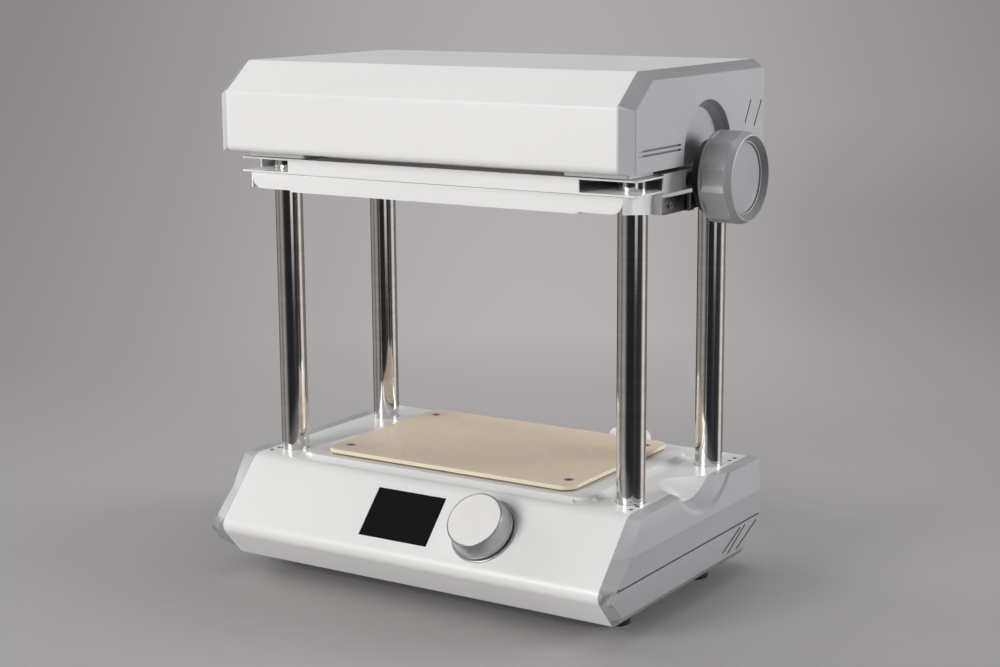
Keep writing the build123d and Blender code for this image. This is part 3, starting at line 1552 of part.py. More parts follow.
# black flange that carries the knob's shaft, on two bosses
wall_outer = carriage_x
strap_inner = wall_outer + strap_gap
strap_outer = strap_inner + strap_thickness
crank_disc_x = strap_outer + crank_gap
flange_x = crank_disc_x + crank_disc_thickness + flange_gap
knob_x = flange_x + flange_thickness + knob_gap
shaft_end = knob_x + knob_depth - knob_recess - shaft_setback

with BuildPart() as knob_flange:
    with BuildSketch(Plane.YZ.offset(flange_x)):
        with Locations((0, knob_z)):
            Circle(flange_radius)
    extrude(amount=flange_thickness)
    chamfer(knob_flange.edges().filter_by(GeomType.CIRCLE).sort_by(Axis.X)[-1], flange_chamfer)
    with BuildSketch(Plane.YZ.offset(wall_outer)):
        with Locations((-flange_boss_y, flange_z), (flange_boss_y, flange_z)):
            Circle(flange_boss_radius)
    extrude(amount=flange_x - wall_outer)
    with BuildSketch(Plane.YZ.offset(flange_x)):
        with Locations((0, knob_z)):
            Circle(shaft_radius + running)
    extrude(amount=flange_thickness, mode=Mode.SUBTRACT)
    with BuildSketch(Plane.YZ.offset(wall_outer)):
        with Locations((-flange_boss_y, flange_z), (flange_boss_y, flange_z)):
            Circle(screw_radius + screw_ease)
    extrude(amount=flange_x - wall_outer + flange_screw_spare, mode=Mode.SUBTRACT)
knob_flange.part.label = "knob_flange"
export_step(knob_flange.part, "parts/knob_flange.step")

with BuildPart() as flange_screws:
    with BuildSketch(Plane.YZ.offset(wall_outer - sheet_thickness)):
        with Locations((-flange_boss_y, flange_z), (flange_boss_y, flange_z)):
            Circle(screw_radius)
    extrude(amount=sheet_thickness + flange_x - wall_outer + flange_screw_bite)
    with BuildSketch(Plane.YZ.offset(wall_outer - sheet_thickness)):
        with Locations((-flange_boss_y, flange_z), (flange_boss_y, flange_z)):
            Circle(screw_head_radius)
    extrude(amount=-screw_head_thickness)
flange_screws.part.label = "flange_screws"
export_step(flange_screws.part, "parts/flange_screws.step")

# clamp tray: hinged at the left, lowered at the right by the knob

tray_x = column_x + tray_side_gap + sheet_thickness / 2
tray_points = [(sx * x, sy * y) for sx, sy, x, y in (
    (1, 1, tray_x, carriage_y - tray_corner_y),
    (1, 1, tray_x - tray_corner_x, carriage_y),
    (-1, 1, tray_x - tray_corner_x, carriage_y),
    (-1, 1, tray_x, carriage_y - tray_corner_y),
    (-1, -1, tray_x, carriage_y - tray_corner_y),
    (-1, -1, tray_x - tray_corner_x, carriage_y),
    (1, -1, tray_x - tray_corner_x, carriage_y),
    (1, -1, tray_x, carriage_y - tray_corner_y),
)]
strap_bottom = tray_wall_bottom - strap_drop - sheet_thickness
wing_bottom = strap_bottom - wing_drop
strap_screw_z = strap_bottom + strap_screw_height

with BuildPart() as clamp_tray:
    # skirt
    with BuildSketch(Plane.XY.offset(tray_wall_bottom)):
        with BuildLine():
            Polyline(*tray_points, close=True)
        make_face()
        offset(amount=-sheet_thickness, kind=Kind.INTERSECTION, mode=Mode.SUBTRACT)
    extrude(amount=skirt_height)
    # the right side is open for the strap
    with Locations((tray_x, 0, tray_wall_bottom)):
        Box(4 * sheet_thickness, 2 * (strap_half_length - sheet_thickness), skirt_height,
            align=(Align.CENTER, Align.CENTER, Align.MIN), mode=Mode.SUBTRACT)
    # the lower corners of the front and back skirts are rounded off
    for side in (-1, 1):
        with BuildSketch(Plane.XZ.offset(-2 * carriage_y)):
            with Locations((side * (tray_x - tray_corner_x - skirt_corner / 2), tray_wall_bottom + skirt_corner / 2)):
                Rectangle(skirt_corner, skirt_corner)
            with Locations((side * (tray_x - tray_corner_x - skirt_corner), tray_wall_bottom + skirt_corner)):
                Circle(skirt_corner, mode=Mode.SUBTRACT)
        extrude(amount=4 * carriage_y, mode=Mode.SUBTRACT)
    # lip under the sheet
    with BuildSketch(Plane.XY.offset(tray_bottom)):
        RectangleRounded(2 * front_wall_half, 2 * carriage_y, small_radius)
        Rectangle(aperture_width, aperture_length, mode=Mode.SUBTRACT)
    extrude(amount=sheet_thickness)
    # gussets, flanges and tabs that hold the strap
    for fore in (-1, 1):
        with BuildSketch(Plane.YZ.offset(tray_x - sheet_thickness)):
            with BuildLine():
                Polyline(
                    (fore * (carriage_y - tray_corner_y), tray_wall_bottom),
                    (fore * (strap_half_length - sheet_thickness), wing_bottom),
                    (fore * (strap_half_length - sheet_thickness), tray_wall_bottom + sheet_thickness),
                    (fore * (carriage_y - tray_corner_y), tray_wall_bottom + sheet_thickness),
                    close=True,
                )
            make_face()
        extrude(amount=sheet_thickness)
        with Locations((tray_x - sheet_thickness, fore * (strap_half_length - sheet_thickness / 2), wing_bottom)):
            Box(strap_inner - tray_x + sheet_thickness, sheet_thickness, strap_height + wing_drop + wing_rise,
                align=(Align.MIN, Align.CENTER, Align.MIN))
        with Locations((strap_inner - sheet_thickness, fore * (strap_half_length - strap_tab / 2), strap_bottom + sheet_thickness)):
            Box(sheet_thickness, strap_tab, strap_height - sheet_thickness,
                align=(Align.MIN, Align.CENTER, Align.MIN))
    # hinge lugs
    for fore in (-1, 1):
        with BuildSketch(Plane.XZ.offset(-fore * hinge_y - hinge_lug_half)):
            with Locations((hinge_x, hinge_z)):
                Circle(ear_half_width)
            with Locations((hinge_x, hinge_z)):
                Rectangle(-hinge_x - tray_x + sheet_thickness / 2, 2 * ear_half_width, align=(Align.MIN, Align.CENTER))
        extrude(amount=2 * hinge_lug_half)
    with BuildSketch(Plane.XZ.offset(-2 * hinge_y)):
        with Locations((hinge_x, hinge_z)):
            Circle(hinge_pin_radius + running)
    extrude(amount=4 * hinge_y, mode=Mode.SUBTRACT)
    # holes for the strap's screws
    with BuildSketch(Plane.YZ.offset(strap_inner)):
        with Locations((-strap_screw_y, strap_screw_z), (strap_screw_y, strap_screw_z)):
            Circle(screw_radius + screw_ease)
    extrude(amount=-sheet_thickness, mode=Mode.SUBTRACT)
clamp_tray.part.label = "clamp_tray"
export_step(clamp_tray.part, "parts/clamp_tray.step")

with BuildPart() as tray_gasket:
    with BuildSketch(Plane.XY.offset(tray_wall_bottom)):
        RectangleRounded(aperture_width + 2 * gasket_width, aperture_length + 2 * gasket_width, small_radius)
        Rectangle(aperture_width, aperture_length, mode=Mode.SUBTRACT)
    extrude(amount=gasket_thickness)
tray_gasket.part.label = "tray_gasket"
export_step(tray_gasket.part, "parts/tray_gasket.step")

# the crank pin starts at 45 degrees and sweeps to the other 45, so the strap drops by root two throws
pin_start = crank_throw * sin(radians(45))
pin_y = -pin_start
pin_z = knob_z + pin_start
slot_front = -crank_throw - crank_pin_radius - hole_ease
slot_back = pin_y + crank_pin_radius + hole_ease
guide_x = strap_outer + guide_radius + guide_stand

with BuildPart() as clamp_strap:
    with BuildSketch(Plane.YZ.offset(strap_inner)):
        with Locations((0, strap_bottom)):
            Rectangle(2 * strap_half_length, strap_height, align=(Align.CENTER, Align.MIN))
        with Locations((slot_front - strap_ear_margin, strap_bottom)):
            RectangleRounded(
                slot_back - slot_front + 2 * strap_ear_margin,
                pin_z + slot_height / 2 + strap_ear_crown - strap_bottom,
                strap_ear_corner,
                align=(Align.MIN, Align.MIN),
            )
        # slot for the crank pin
        with Locations(((slot_front + slot_back) / 2, pin_z)):
            Rectangle(slot_back - slot_front, slot_height, mode=Mode.SUBTRACT)
        with Locations((-strap_screw_y, strap_screw_z), (strap_screw_y, strap_screw_z)):
            Circle(screw_radius + screw_ease, mode=Mode.SUBTRACT)
    extrude(amount=strap_thickness)
    # two guide pins on tabs bent outwards
    for fore in (-1, 1):
        with Locations((strap_outer, fore * guide_y, strap_bottom)):
            Box(guide_x + guide_radius - strap_outer, 4 * guide_radius, guide_tab,
                align=(Align.MIN, Align.CENTER, Align.MIN))
        with Locations((guide_x, fore * guide_y, strap_bottom)):
            Cylinder(guide_radius, strap_height + guide_proud, align=(Align.CENTER, Align.CENTER, Align.MIN))
clamp_strap.part.label = "clamp_strap"
export_step(clamp_strap.part, "parts/clamp_strap.step")

with BuildPart() as strap_screws:
    with BuildSketch(Plane.YZ.offset(strap_outer)):
        with Locations((-strap_screw_y, strap_screw_z), (strap_screw_y, strap_screw_z)):
            Circle(socket_screw_head)
    extrude(amount=socket_screw_thickness)
    with BuildSketch(Plane.YZ.offset(strap_outer)):
        with Locations((-strap_screw_y, strap_screw_z), (strap_screw_y, strap_screw_z)):
            Circle(screw_radius)
    extrude(amount=-strap_thickness - sheet_thickness - socket_screw_thickness)
    with BuildSketch(Plane.YZ.offset(strap_outer + socket_screw_thickness)):
        with Locations((-strap_screw_y, strap_screw_z), (strap_screw_y, strap_screw_z)):
            RegularPolygon(radius=socket_hex, side_count=6)
    extrude(amount=-socket_depth, mode=Mode.SUBTRACT)
strap_screws.part.label = "strap_screws"
export_step(strap_screws.part, "parts/strap_screws.step")

with BuildPart() as crank_shaft:
    with BuildSketch(Plane.YZ.offset(wall_outer + crank_pin_gap)):
        with Locations((pin_y, pin_z)):
            Circle(crank_pin_radius)
    extrude(amount=crank_disc_x - wall_outer - crank_pin_gap)
    with BuildSketch(Plane.YZ.offset(crank_disc_x)):
        with Locations((0, knob_z)):
            Circle(crank_disc_radius)
    extrude(amount=crank_disc_thickness)
    with BuildSketch(Plane.YZ.offset(crank_disc_x + crank_disc_thickness)):
        with Locations((0, knob_z)):
            Circle(shaft_radius)
    extrude(amount=shaft_end - crank_disc_x - crank_disc_thickness)
crank_shaft.part.label = "crank_shaft"
export_step(crank_shaft.part, "parts/crank_shaft.step")

# side knob

knob_front = knob_x + knob_depth
knob_axis = Axis(origin=(0, 0, knob_z), direction=(1, 0, 0))
with BuildPart() as side_knob:
    with BuildSketch(Plane.XZ):
        with BuildLine():
            FilletPolyline(
                (knob_x, knob_z),
                (knob_x, knob_z + knob_radius - knob_lip_chamfer),
                (knob_x + knob_lip_chamfer, knob_z + knob_radius),
                (knob_front, knob_z + knob_radius),
                (knob_front, knob_z + knob_ridge_radius),
                (knob_front - knob_shelf, knob_z + knob_face_radius + knob_shelf_width),
                (knob_front - knob_shelf, knob_z + knob_face_radius),
                (knob_front - knob_recess, knob_z + knob_face_radius),
                (knob_front - knob_recess, knob_z),
                radius=[0, 0, 0, knob_nose_radius, 0, 0, 0, 0, 0],
                close=True,
            )
        make_face()
    revolve(axis=knob_axis)
    # finger flutes between the two round bands
    with BuildSketch(Plane.YZ.offset(knob_x + knob_rim)):
        with Locations((0, knob_z)):
            with PolarLocations(knob_radius + knob_flute_radius - knob_flute_depth, knob_flutes):
                Circle(knob_flute_radius)
            Circle(knob_radius + 2 * knob_flute_depth, mode=Mode.INTERSECT)
    extrude(amount=knob_depth - knob_rim - knob_nose, mode=Mode.SUBTRACT)
    # bore for the shaft
    with BuildSketch(Plane.YZ.offset(knob_x)):
        with Locations((0, knob_z)):
            Circle(shaft_radius + running)
    extrude(amount=shaft_end - knob_x, mode=Mode.SUBTRACT)
side_knob.part.label = "side_knob"
export_step(side_knob.part, "parts/side_knob.step")

with BuildPart() as knob_face:
    with BuildSketch(Plane.YZ.offset(knob_front - knob_recess)):
        with Locations((0, knob_z)):
            Circle(knob_face_radius - slip)
    extrude(amount=knob_recess - knob_face_sink)
    chamfer(knob_face.edges().filter_by(GeomType.CIRCLE).sort_by(Axis.X)[-1], knob_face_chamfer)
knob_face.part.label = "knob_face"
export_step(knob_face.part, "parts/knob_face.step")
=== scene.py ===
import json
import math

import bmesh
import bpy
import numpy as np
from mathutils import Matrix, Vector


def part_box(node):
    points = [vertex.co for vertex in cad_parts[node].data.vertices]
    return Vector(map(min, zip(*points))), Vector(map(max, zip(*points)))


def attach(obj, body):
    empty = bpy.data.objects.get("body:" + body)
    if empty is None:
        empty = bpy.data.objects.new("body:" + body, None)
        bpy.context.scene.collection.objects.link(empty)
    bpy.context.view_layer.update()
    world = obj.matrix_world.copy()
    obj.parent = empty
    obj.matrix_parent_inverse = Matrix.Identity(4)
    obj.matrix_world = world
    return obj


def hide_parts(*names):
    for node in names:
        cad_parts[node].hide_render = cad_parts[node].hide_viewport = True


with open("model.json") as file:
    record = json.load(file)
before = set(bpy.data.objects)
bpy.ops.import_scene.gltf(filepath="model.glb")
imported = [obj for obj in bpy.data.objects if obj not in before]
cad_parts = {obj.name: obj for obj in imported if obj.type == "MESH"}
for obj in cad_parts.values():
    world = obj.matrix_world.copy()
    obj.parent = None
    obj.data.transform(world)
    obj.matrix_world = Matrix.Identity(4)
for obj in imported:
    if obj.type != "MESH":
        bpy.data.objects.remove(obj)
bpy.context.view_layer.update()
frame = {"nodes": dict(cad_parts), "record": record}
mm = 0.001

# shader expressions


class Wire:
    # one output socket; the operators add Math nodes, so a mask can be written as arithmetic
    def __init__(self, tree, socket):
        self.tree, self.socket = tree, socket

    def math(self, operation, *values):
        return self.tree.math(operation, *values)

    def __add__(self, other):
        return self.math("ADD", self, other)

    def __radd__(self, other):
        return self.math("ADD", other, self)

    def __sub__(self, other):
        return self.math("SUBTRACT", self, other)

    def __rsub__(self, other):
        return self.math("SUBTRACT", other, self)

    def __mul__(self, other):
        return self.math("MULTIPLY", self, other)

    def __rmul__(self, other):
        return self.math("MULTIPLY", other, self)

    def __truediv__(self, other):
        return self.math("DIVIDE", self, other)

    def __rtruediv__(self, other):
        return self.math("DIVIDE", other, self)

    def __abs__(self):
        return self.math("ABSOLUTE", self)

    def root(self):
        return self.math("SQRT", self)

    def clip(self, low, high):
        return self.math("MINIMUM", self.math("MAXIMUM", self, low), high)


class Finish:
    # one material or world: node() adds any node from its type, its settings and its sockets' values or links
    def __init__(self, name, owner=None):
        self.material = owner or bpy.data.materials.new(name)
        self.material.use_nodes = True
        self.tree = self.material.node_tree
        self.tree.nodes.clear()
        self.place = None

    def node(self, kind, settings=None, sockets=None, output=0):
        made = self.tree.nodes.new(kind)
        for key, value in (settings or {}).items():
            if key == "stops":
                ramp = made.color_ramp
                while len(ramp.elements) < len(value):
                    ramp.elements.new(1.0)
                for element, (position, colour) in zip(ramp.elements, value):
                    element.position, element.color = position, colour
            else:
                setattr(made, key, value)
        for key, value in (sockets or {}).items():
            target = made.inputs[key]
            if isinstance(value, Wire):
                self.tree.links.new(value.socket, target)
            else:
                target.default_value = value
        return Wire(self, made.outputs[output]) if made.outputs else None

    def math(self, operation, *values):
        return self.node("ShaderNodeMath", {"operation": operation}, dict(enumerate(values)))

    def ramp(self, value, stops, tint=(1.0, 1.0, 1.0), dark=None):
        # tones at their positions, straight between them; tones under darkBelow take the tint called dark
        darkBelow = 0.1
        stops = [(at, tone(v, *(dark if dark and v < darkBelow else tint))) for at, v in stops]
        return self.node("ShaderNodeValToRGB", {"stops": stops}, {0: value})

    def objectPoint(self):
        if self.place is None:
            self.place = self.node("ShaderNodeTexCoord", output="Object")
        return self.place

    def axes(self):
        split = self.node("ShaderNodeSeparateXYZ", None, {0: self.objectPoint()})
        outputs = split.socket.node.outputs
        return [Wire(self, outputs[i]) for i in range(3)]

    def stretched(self, scale):
        return self.node("ShaderNodeMapping", None, {"Vector": self.objectPoint(), "Scale": scale})

    def noise(self, scale, detail=3.0, roughness=0.5, vector=None):
        return self.node("ShaderNodeTexNoise", None, {
            "Vector": vector or self.objectPoint(), "Scale": scale, "Detail": detail, "Roughness": roughness})

    def ranged(self, value, low, high, toLow, toHigh):
        return self.node("ShaderNodeMapRange", {"clamp": True}, {
            0: value, 1: low, 2: high, 3: toLow, 4: toHigh})

    def rising(self, value, low, high):
        # 0 up to low and 1 from high on; low and high in mm
        return self.ranged(value, low * mm, high * mm, 0.0, 1.0)

    def falling(self, value, low, high):
        # 1 up to low and 0 from high on; low and high in mm
        return self.ranged(value, low * mm, high * mm, 1.0, 0.0)

    def band(self, value, centre, half, soft):
        # 1 within half of centre and 0 beyond half + soft; all three in mm
        return self.falling(abs(value - centre * mm), half, half + soft)

    def blend(self, factor, first, second):
        return self.node("ShaderNodeMix", {"data_type": "RGBA"}, {0: factor, 6: first, 7: second}, output=2)

    def mottled(self, noise, first, second, low=0.3, high=0.7):
        # first where the noise is under low, second where it is over high
        return self.blend(self.ranged(noise, low, high, 0.0, 1.0), first, second)

    def bump(self, height, depth, strength):
        # depth in mm
        sockets = {"Height": height, "Distance": depth * mm, "Strength": strength}
        return self.node("ShaderNodeBump", None, sockets)

    def finish(self, varying, fixed):
        # varying holds the sockets that get a link, fixed the constants set on the shader itself
        shader = self.node("ShaderNodeBsdfPrincipled", None, {**fixed, **varying})
        self.node("ShaderNodeOutputMaterial", None, {0: shader})
        return self.material


def tone(value, red=1.0, green=1.0, blue=1.0):
    return (value * red, value * green, value * blue, 1.0)


# camera: a level tripod shot from the right of the front, tipped down
cameraSpot = dict(
    place=(749.1 * mm, -1164.5 * mm, 445.4 * mm), yaw=32.67, pitch=11.06, roll=-0.36, lens=69.6, sensor=36.0)


def makeCamera(spot):
    # forward follows yaw and pitch, and the picture's right and up are turned about it by roll
    yaw, pitch, roll = (math.radians(spot[k]) for k in ("yaw", "pitch", "roll"))
    forward = Vector((-math.sin(yaw) * math.cos(pitch), math.cos(yaw) * math.cos(pitch), -math.sin(pitch)))
    side = forward.cross(Vector((0, 0, 1))).normalized()
    up = side.cross(forward)
    right = side * math.cos(roll) + up * math.sin(roll)
    top = up * math.cos(roll) - side * math.sin(roll)
    data = bpy.data.cameras.new("viewer")
    data.sensor_width = spot["sensor"]
    data.lens = spot["lens"]
    camera = bpy.data.objects.new("viewer", data)
    bpy.context.scene.collection.objects.link(camera)
    turn = Matrix((right, top, -forward)).transposed().to_4x4()
    camera.matrix_world = Matrix.Translation(spot["place"]) @ turn
    bpy.context.scene.camera = camera


makeCamera(cameraSpot)
print("camera set")

# materials


def shellPaint(name="shellPaint", gloss=0.38, coat=0.12):
    # warm white enamel: orange peel a millimetre or two across, faint handling marks in the gloss
    m = Finish(name)
    peel = m.noise(420.0, detail=2.0)
    cloud = m.noise(9.0)
    smudge = m.noise(38.0, detail=4.0, roughness=0.6)
    colour = m.mottled(cloud, tone(0.80, 1.0, 0.997, 0.99), tone(0.83, 1.0, 0.998, 0.99))
    rough = m.ranged(smudge, 0.35, 0.7, gloss - 0.03, gloss + 0.06)
    return m.finish(
        {"Base Color": colour, "Roughness": rough, "Normal": m.bump(peel, 0.02, 0.25)},
        {"Coat Weight": coat, "Coat Roughness": 0.2, "IOR": 1.5})


# painted shade and painted light on the silver parts, in mm: a band is its middle, half width and soft edge,
# and a step is where it starts and ends. Shares are how far the painted shade or the painted light covers the
# paint.
silver = (0.99, 0.985, 1.03)
shadeTone = 0.2
capLightAndShade = dict(
    baseGrooveOut=(168.6, 0.3, 0.15), longGrooveUp=(42.1, 1.2, 0.2),
    slantedAlong=(58.0, 31.0, 0.5), slantedUp=(31.5, 9.0, 0.5),
    headGrooveOut=(167.8, 0.6, 0.2), pairedAlong=(-63.0, 26.0, 0.5), pairedUp=(322.2, 3.0, 0.3),
    leaningAlong=(67.0, 18.0, 0.5), leaningUp=(337.0, 12.0, 0.5), grooveShare=0.75,
    archOut=(167.0, 1.5, 0.3), archAlong=(0.0, 36.0, 0.5), archUp=(325.0, 26.0, 0.5), archShare=0.3,
    creaseUp=(59.4, 0.25, 0.2), creaseOut=(166.5, 167.5), creaseShare=0.25,
    belowCrease=(58.8, 59.4), belowShare=0.16, foot=(14.0, 40.0), footShare=0.12,
    bevelOut=(168.0, 168.5), noseAlong=(-112.0, -110.0), noseUp=(37.0, 4.0, 1.5), noseShare=0.4,
    crestLean=0.4, crestDust=(416.5, 417.1), crestShare=0.34, crestRub=(416.3, 416.9),
    headUp=(300.0, 301.0), headFront=(9.0, 11.0), baseUp=(200.0, 201.0), baseFront=(0.0, 1.0), baseRub=0.3,
    rubShare=0.42, rubTone=0.78)
# painted shade on the knob's cone and painted light on its lip
knobLightAndShade = dict(
    outward=(17.5, 18.5), cone=(26.1, 1.3, 0.5), coneShare=0.3, lip=(28.3, 0.25, 0.35), rubShare=0.5,
    rubTone=0.75)


def capMasks(m, lightAndShade):
    # a groove lies just under the outer face: band(|x|) * band(y) * band(z). The painted shade is grooves +
    # arch + crease + what is below the crease + the bottom + the base's nose + the head's upper bevel. The
    # head's front band and the base's bevel get painted light; painted shade and painted light meet on the
    # head where z + crestLean * |x| passes the crest's lit limit
    x, y, z = m.axes()
    out = abs(x)
    slanted = m.band(y, *lightAndShade["slantedAlong"]) * m.band(z, *lightAndShade["slantedUp"])
    baseGrooves = m.band(out, *lightAndShade["baseGrooveOut"]) * (m.band(z, *lightAndShade["longGrooveUp"]) + slanted)
    paired = m.band(y, *lightAndShade["pairedAlong"]) * m.band(z, *lightAndShade["pairedUp"])
    leaning = m.band(y, *lightAndShade["leaningAlong"]) * m.band(z, *lightAndShade["leaningUp"])
    headGrooves = m.band(out, *lightAndShade["headGrooveOut"]) * (paired + leaning)
    arch = m.band(out, *lightAndShade["archOut"]) * m.band(y, *lightAndShade["archAlong"]) * m.band(z, *lightAndShade["archUp"])
    crease = m.band(z, *lightAndShade["creaseUp"]) * m.rising(out, *lightAndShade["creaseOut"])
    # painted shade: the grooves, the arch, the crease, below the crease, the base's nose and the head's upper
    # bevel are darkened, and the paint is darker towards the bottom
    paintedShade = (baseGrooves + headGrooves).clip(0.0, 1.0) * lightAndShade["grooveShare"]
    paintedShade = paintedShade + arch * lightAndShade["archShare"] + crease * lightAndShade["creaseShare"]
    paintedShade = paintedShade + m.falling(z, *lightAndShade["belowCrease"]) * lightAndShade["belowShare"]
    paintedShade = paintedShade + m.falling(z, *lightAndShade["foot"]) * lightAndShade["footShare"]
    bevel = m.falling(out, *lightAndShade["bevelOut"])
    nose = m.falling(y, *lightAndShade["noseAlong"]) * m.band(z, *lightAndShade["noseUp"])
    crest = z + out * lightAndShade["crestLean"]
    onCrest = m.rising(crest, *lightAndShade["crestDust"])
    paintedShade = paintedShade + bevel * (nose * lightAndShade["noseShare"] + onCrest * lightAndShade["crestShare"])
    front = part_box("head_cap_right")[0].y / mm
    # painted light: the head's front band and the base's bevel are lightened
    headBand = m.falling(crest, *lightAndShade["crestRub"]) * m.rising(z, *lightAndShade["headUp"])
    headBand = headBand * m.falling(y, *(front + along for along in lightAndShade["headFront"]))
    baseBand = m.falling(z, *lightAndShade["baseUp"]) * m.falling(y, *lightAndShade["baseFront"])
    return paintedShade, bevel * (headBand + baseBand * lightAndShade["baseRub"])


def knobMasks(m, lightAndShade):
    # painted shade on the cone between the lip and the face, and painted light on the lip, by radius on the
    # knob's outer end
    x, y, z = m.axes()
    low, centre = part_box("side_knob")[0], middle("side_knob")
    up, across = z - centre.z, y - centre.y
    radius = (up * up + across * across).root()
    outward = m.rising(x, *(low.x / mm + along for along in lightAndShade["outward"]))
    return m.band(radius, *lightAndShade["cone"]) * outward * lightAndShade["coneShare"], m.band(radius, *lightAndShade["lip"]) * outward


def silverPaint(name, value, masks, lightAndShade, gloss=0.0):
    # silver grey paint with a fine flake, on moulded plastic: darker where shade is painted, then lighter
    # where light is painted
    m = Finish(name)
    flake = m.noise(2600.0, detail=1.0)
    cloud = m.noise(14.0)
    base = m.mottled(cloud, tone(value * 0.97, *silver), tone(value * 1.03, *silver))
    speck = m.ranged(flake, 0.35, 0.7, 0.0, 1.0)
    colour = m.blend(speck * 0.25, base, tone(value * 1.35, *silver))
    paintedShade, paintedLight = masks(m, lightAndShade)
    # painted shade darkens the paint, then painted light lightens it
    colour = m.blend(paintedShade.clip(0.0, 1.0), colour, tone(value * shadeTone, *silver))
    colour = m.blend(paintedLight * lightAndShade["rubShare"], colour, tone(lightAndShade["rubTone"], *silver))
    rough = m.ranged(m.noise(60.0, detail=4.0, roughness=0.6), 0.3, 0.7, 0.48, 0.58)
    return m.finish(
        {"Base Color": colour, "Roughness": rough, "Normal": m.bump(flake, 0.012, 0.3)},
        {"Metallic": 0.1, "IOR": 1.45, "Coat Weight": gloss, "Coat Roughness": 0.16})


def columnSteel():
    # ground and polished bar: faint lines along it, and rings of wear where the bushings run
    m = Finish("columnSteel")
    lines = m.noise(900.0, detail=2.0, vector=m.stretched((1.0, 1.0, 0.01)))
    rings = m.noise(160.0, detail=2.0, vector=m.stretched((0.02, 0.02, 1.0)))
    colour = m.mottled(rings, tone(0.66, 1.0, 0.985, 0.96), tone(0.72, 1.0, 0.985, 0.96), 0.4, 0.6)
    rough = m.ranged(lines, 0.3, 0.7, 0.05, 0.11)
    return m.finish(
        {"Base Color": colour, "Roughness": rough, "Normal": m.bump(lines, 0.004, 0.4)}, {"Metallic": 1.0})


def plainSteel(name, value, low, high, along=(1.0, 1.0, 1.0)):
    # brushed or machined steel, its roughness from low to high; along stretches the scratches
    m = Finish(name)
    scratch = m.noise(700.0, roughness=0.6, vector=m.stretched(along))
    colour = m.mottled(scratch, tone(value * 0.8, 1.0, 0.99, 0.97), tone(value * 1.15, 1.0, 0.99, 0.97))
    rough = m.ranged(scratch, 0.3, 0.7, low, high)
    return m.finish(
        {"Base Color": colour, "Roughness": rough, "Normal": m.bump(scratch, 0.01, 0.4)}, {"Metallic": 1.0})


def mouldedPlastic(name, value, tint=(1.0, 1.0, 1.0), gloss=0.45, grain=900.0, depth=0.02, coat=0.0):
    # moulded plastic: fine spark-eroded grain, depth in mm, and a slow drift of tone
    m = Finish(name)
    pits = m.noise(grain, detail=2.0, roughness=0.6)
    colour = m.mottled(m.noise(25.0), tone(value * 0.94, *tint), tone(value * 1.06, *tint))
    rough = m.ranged(pits, 0.3, 0.7, gloss - 0.06, gloss + 0.06)
    return m.finish(
        {"Base Color": colour, "Roughness": rough, "Normal": m.bump(pits, depth, 0.5)},
        {"Coat Weight": coat, "Coat Roughness": 0.15, "IOR": 1.48})


def beigePlate(rim=(90.5, 90.9)):
    # fine-grained beige plate; the rounded edge, below rim in mm, is paler, and dust lies in faint patches
    m = Finish("beigePlate")
    top = m.rising(m.axes()[2], *rim)
    grain = m.noise(220.0, detail=4.0, roughness=0.6)
    base = m.mottled(grain, tone(0.77, 1.0, 0.82, 0.64), tone(0.82, 1.0, 0.83, 0.66))
    dusty = m.blend(m.ranged(m.noise(16.0), 0.4, 0.7, 0.0, 0.25), base, tone(0.85, 1.0, 0.85, 0.69))
    colour = m.blend(top, tone(0.84, 1.0, 0.86, 0.66), dusty)
    rough = m.ranged(grain, 0.3, 0.7, 0.42, 0.56)
    return m.finish(
        {"Base Color": colour, "Roughness": rough, "Normal": m.bump(grain, 0.03, 0.3)}, {"IOR": 1.45})


def darkGlass():
    # display window: black behind glass, with a few specks of dust
    m = Finish("darkGlass")
    specks = m.ranged(m.noise(1500.0, detail=2.0, roughness=0.7), 0.72, 0.78, 0.0, 1.0)
    colour = m.blend(specks * 0.10, tone(0.006, 1.0, 1.1, 1.2), tone(0.2))
    rough = m.ranged(m.noise(30.0, detail=4.0, roughness=0.6), 0.35, 0.65, 0.07, 0.13)
    return m.finish({"Base Color": colour, "Roughness": rough}, {"IOR": 1.22})


def satinAluminium(name, value=0.46):
    # satin turned aluminium: fine scratches over a soft change of tone
    m = Finish(name)
    scratch = m.noise(1400.0, roughness=0.6)
    colour = m.mottled(m.noise(160.0), tone(value * 0.94), tone(value * 1.05))
    rough = m.ranged(scratch, 0.3, 0.7, 0.26, 0.38)
    return m.finish(
        {"Base Color": colour, "Roughness": rough, "Normal": m.bump(scratch, 0.006, 0.4)}, {"Metallic": 0.9})


def middle(node):
    low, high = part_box(node)
    return (low + high) / 2


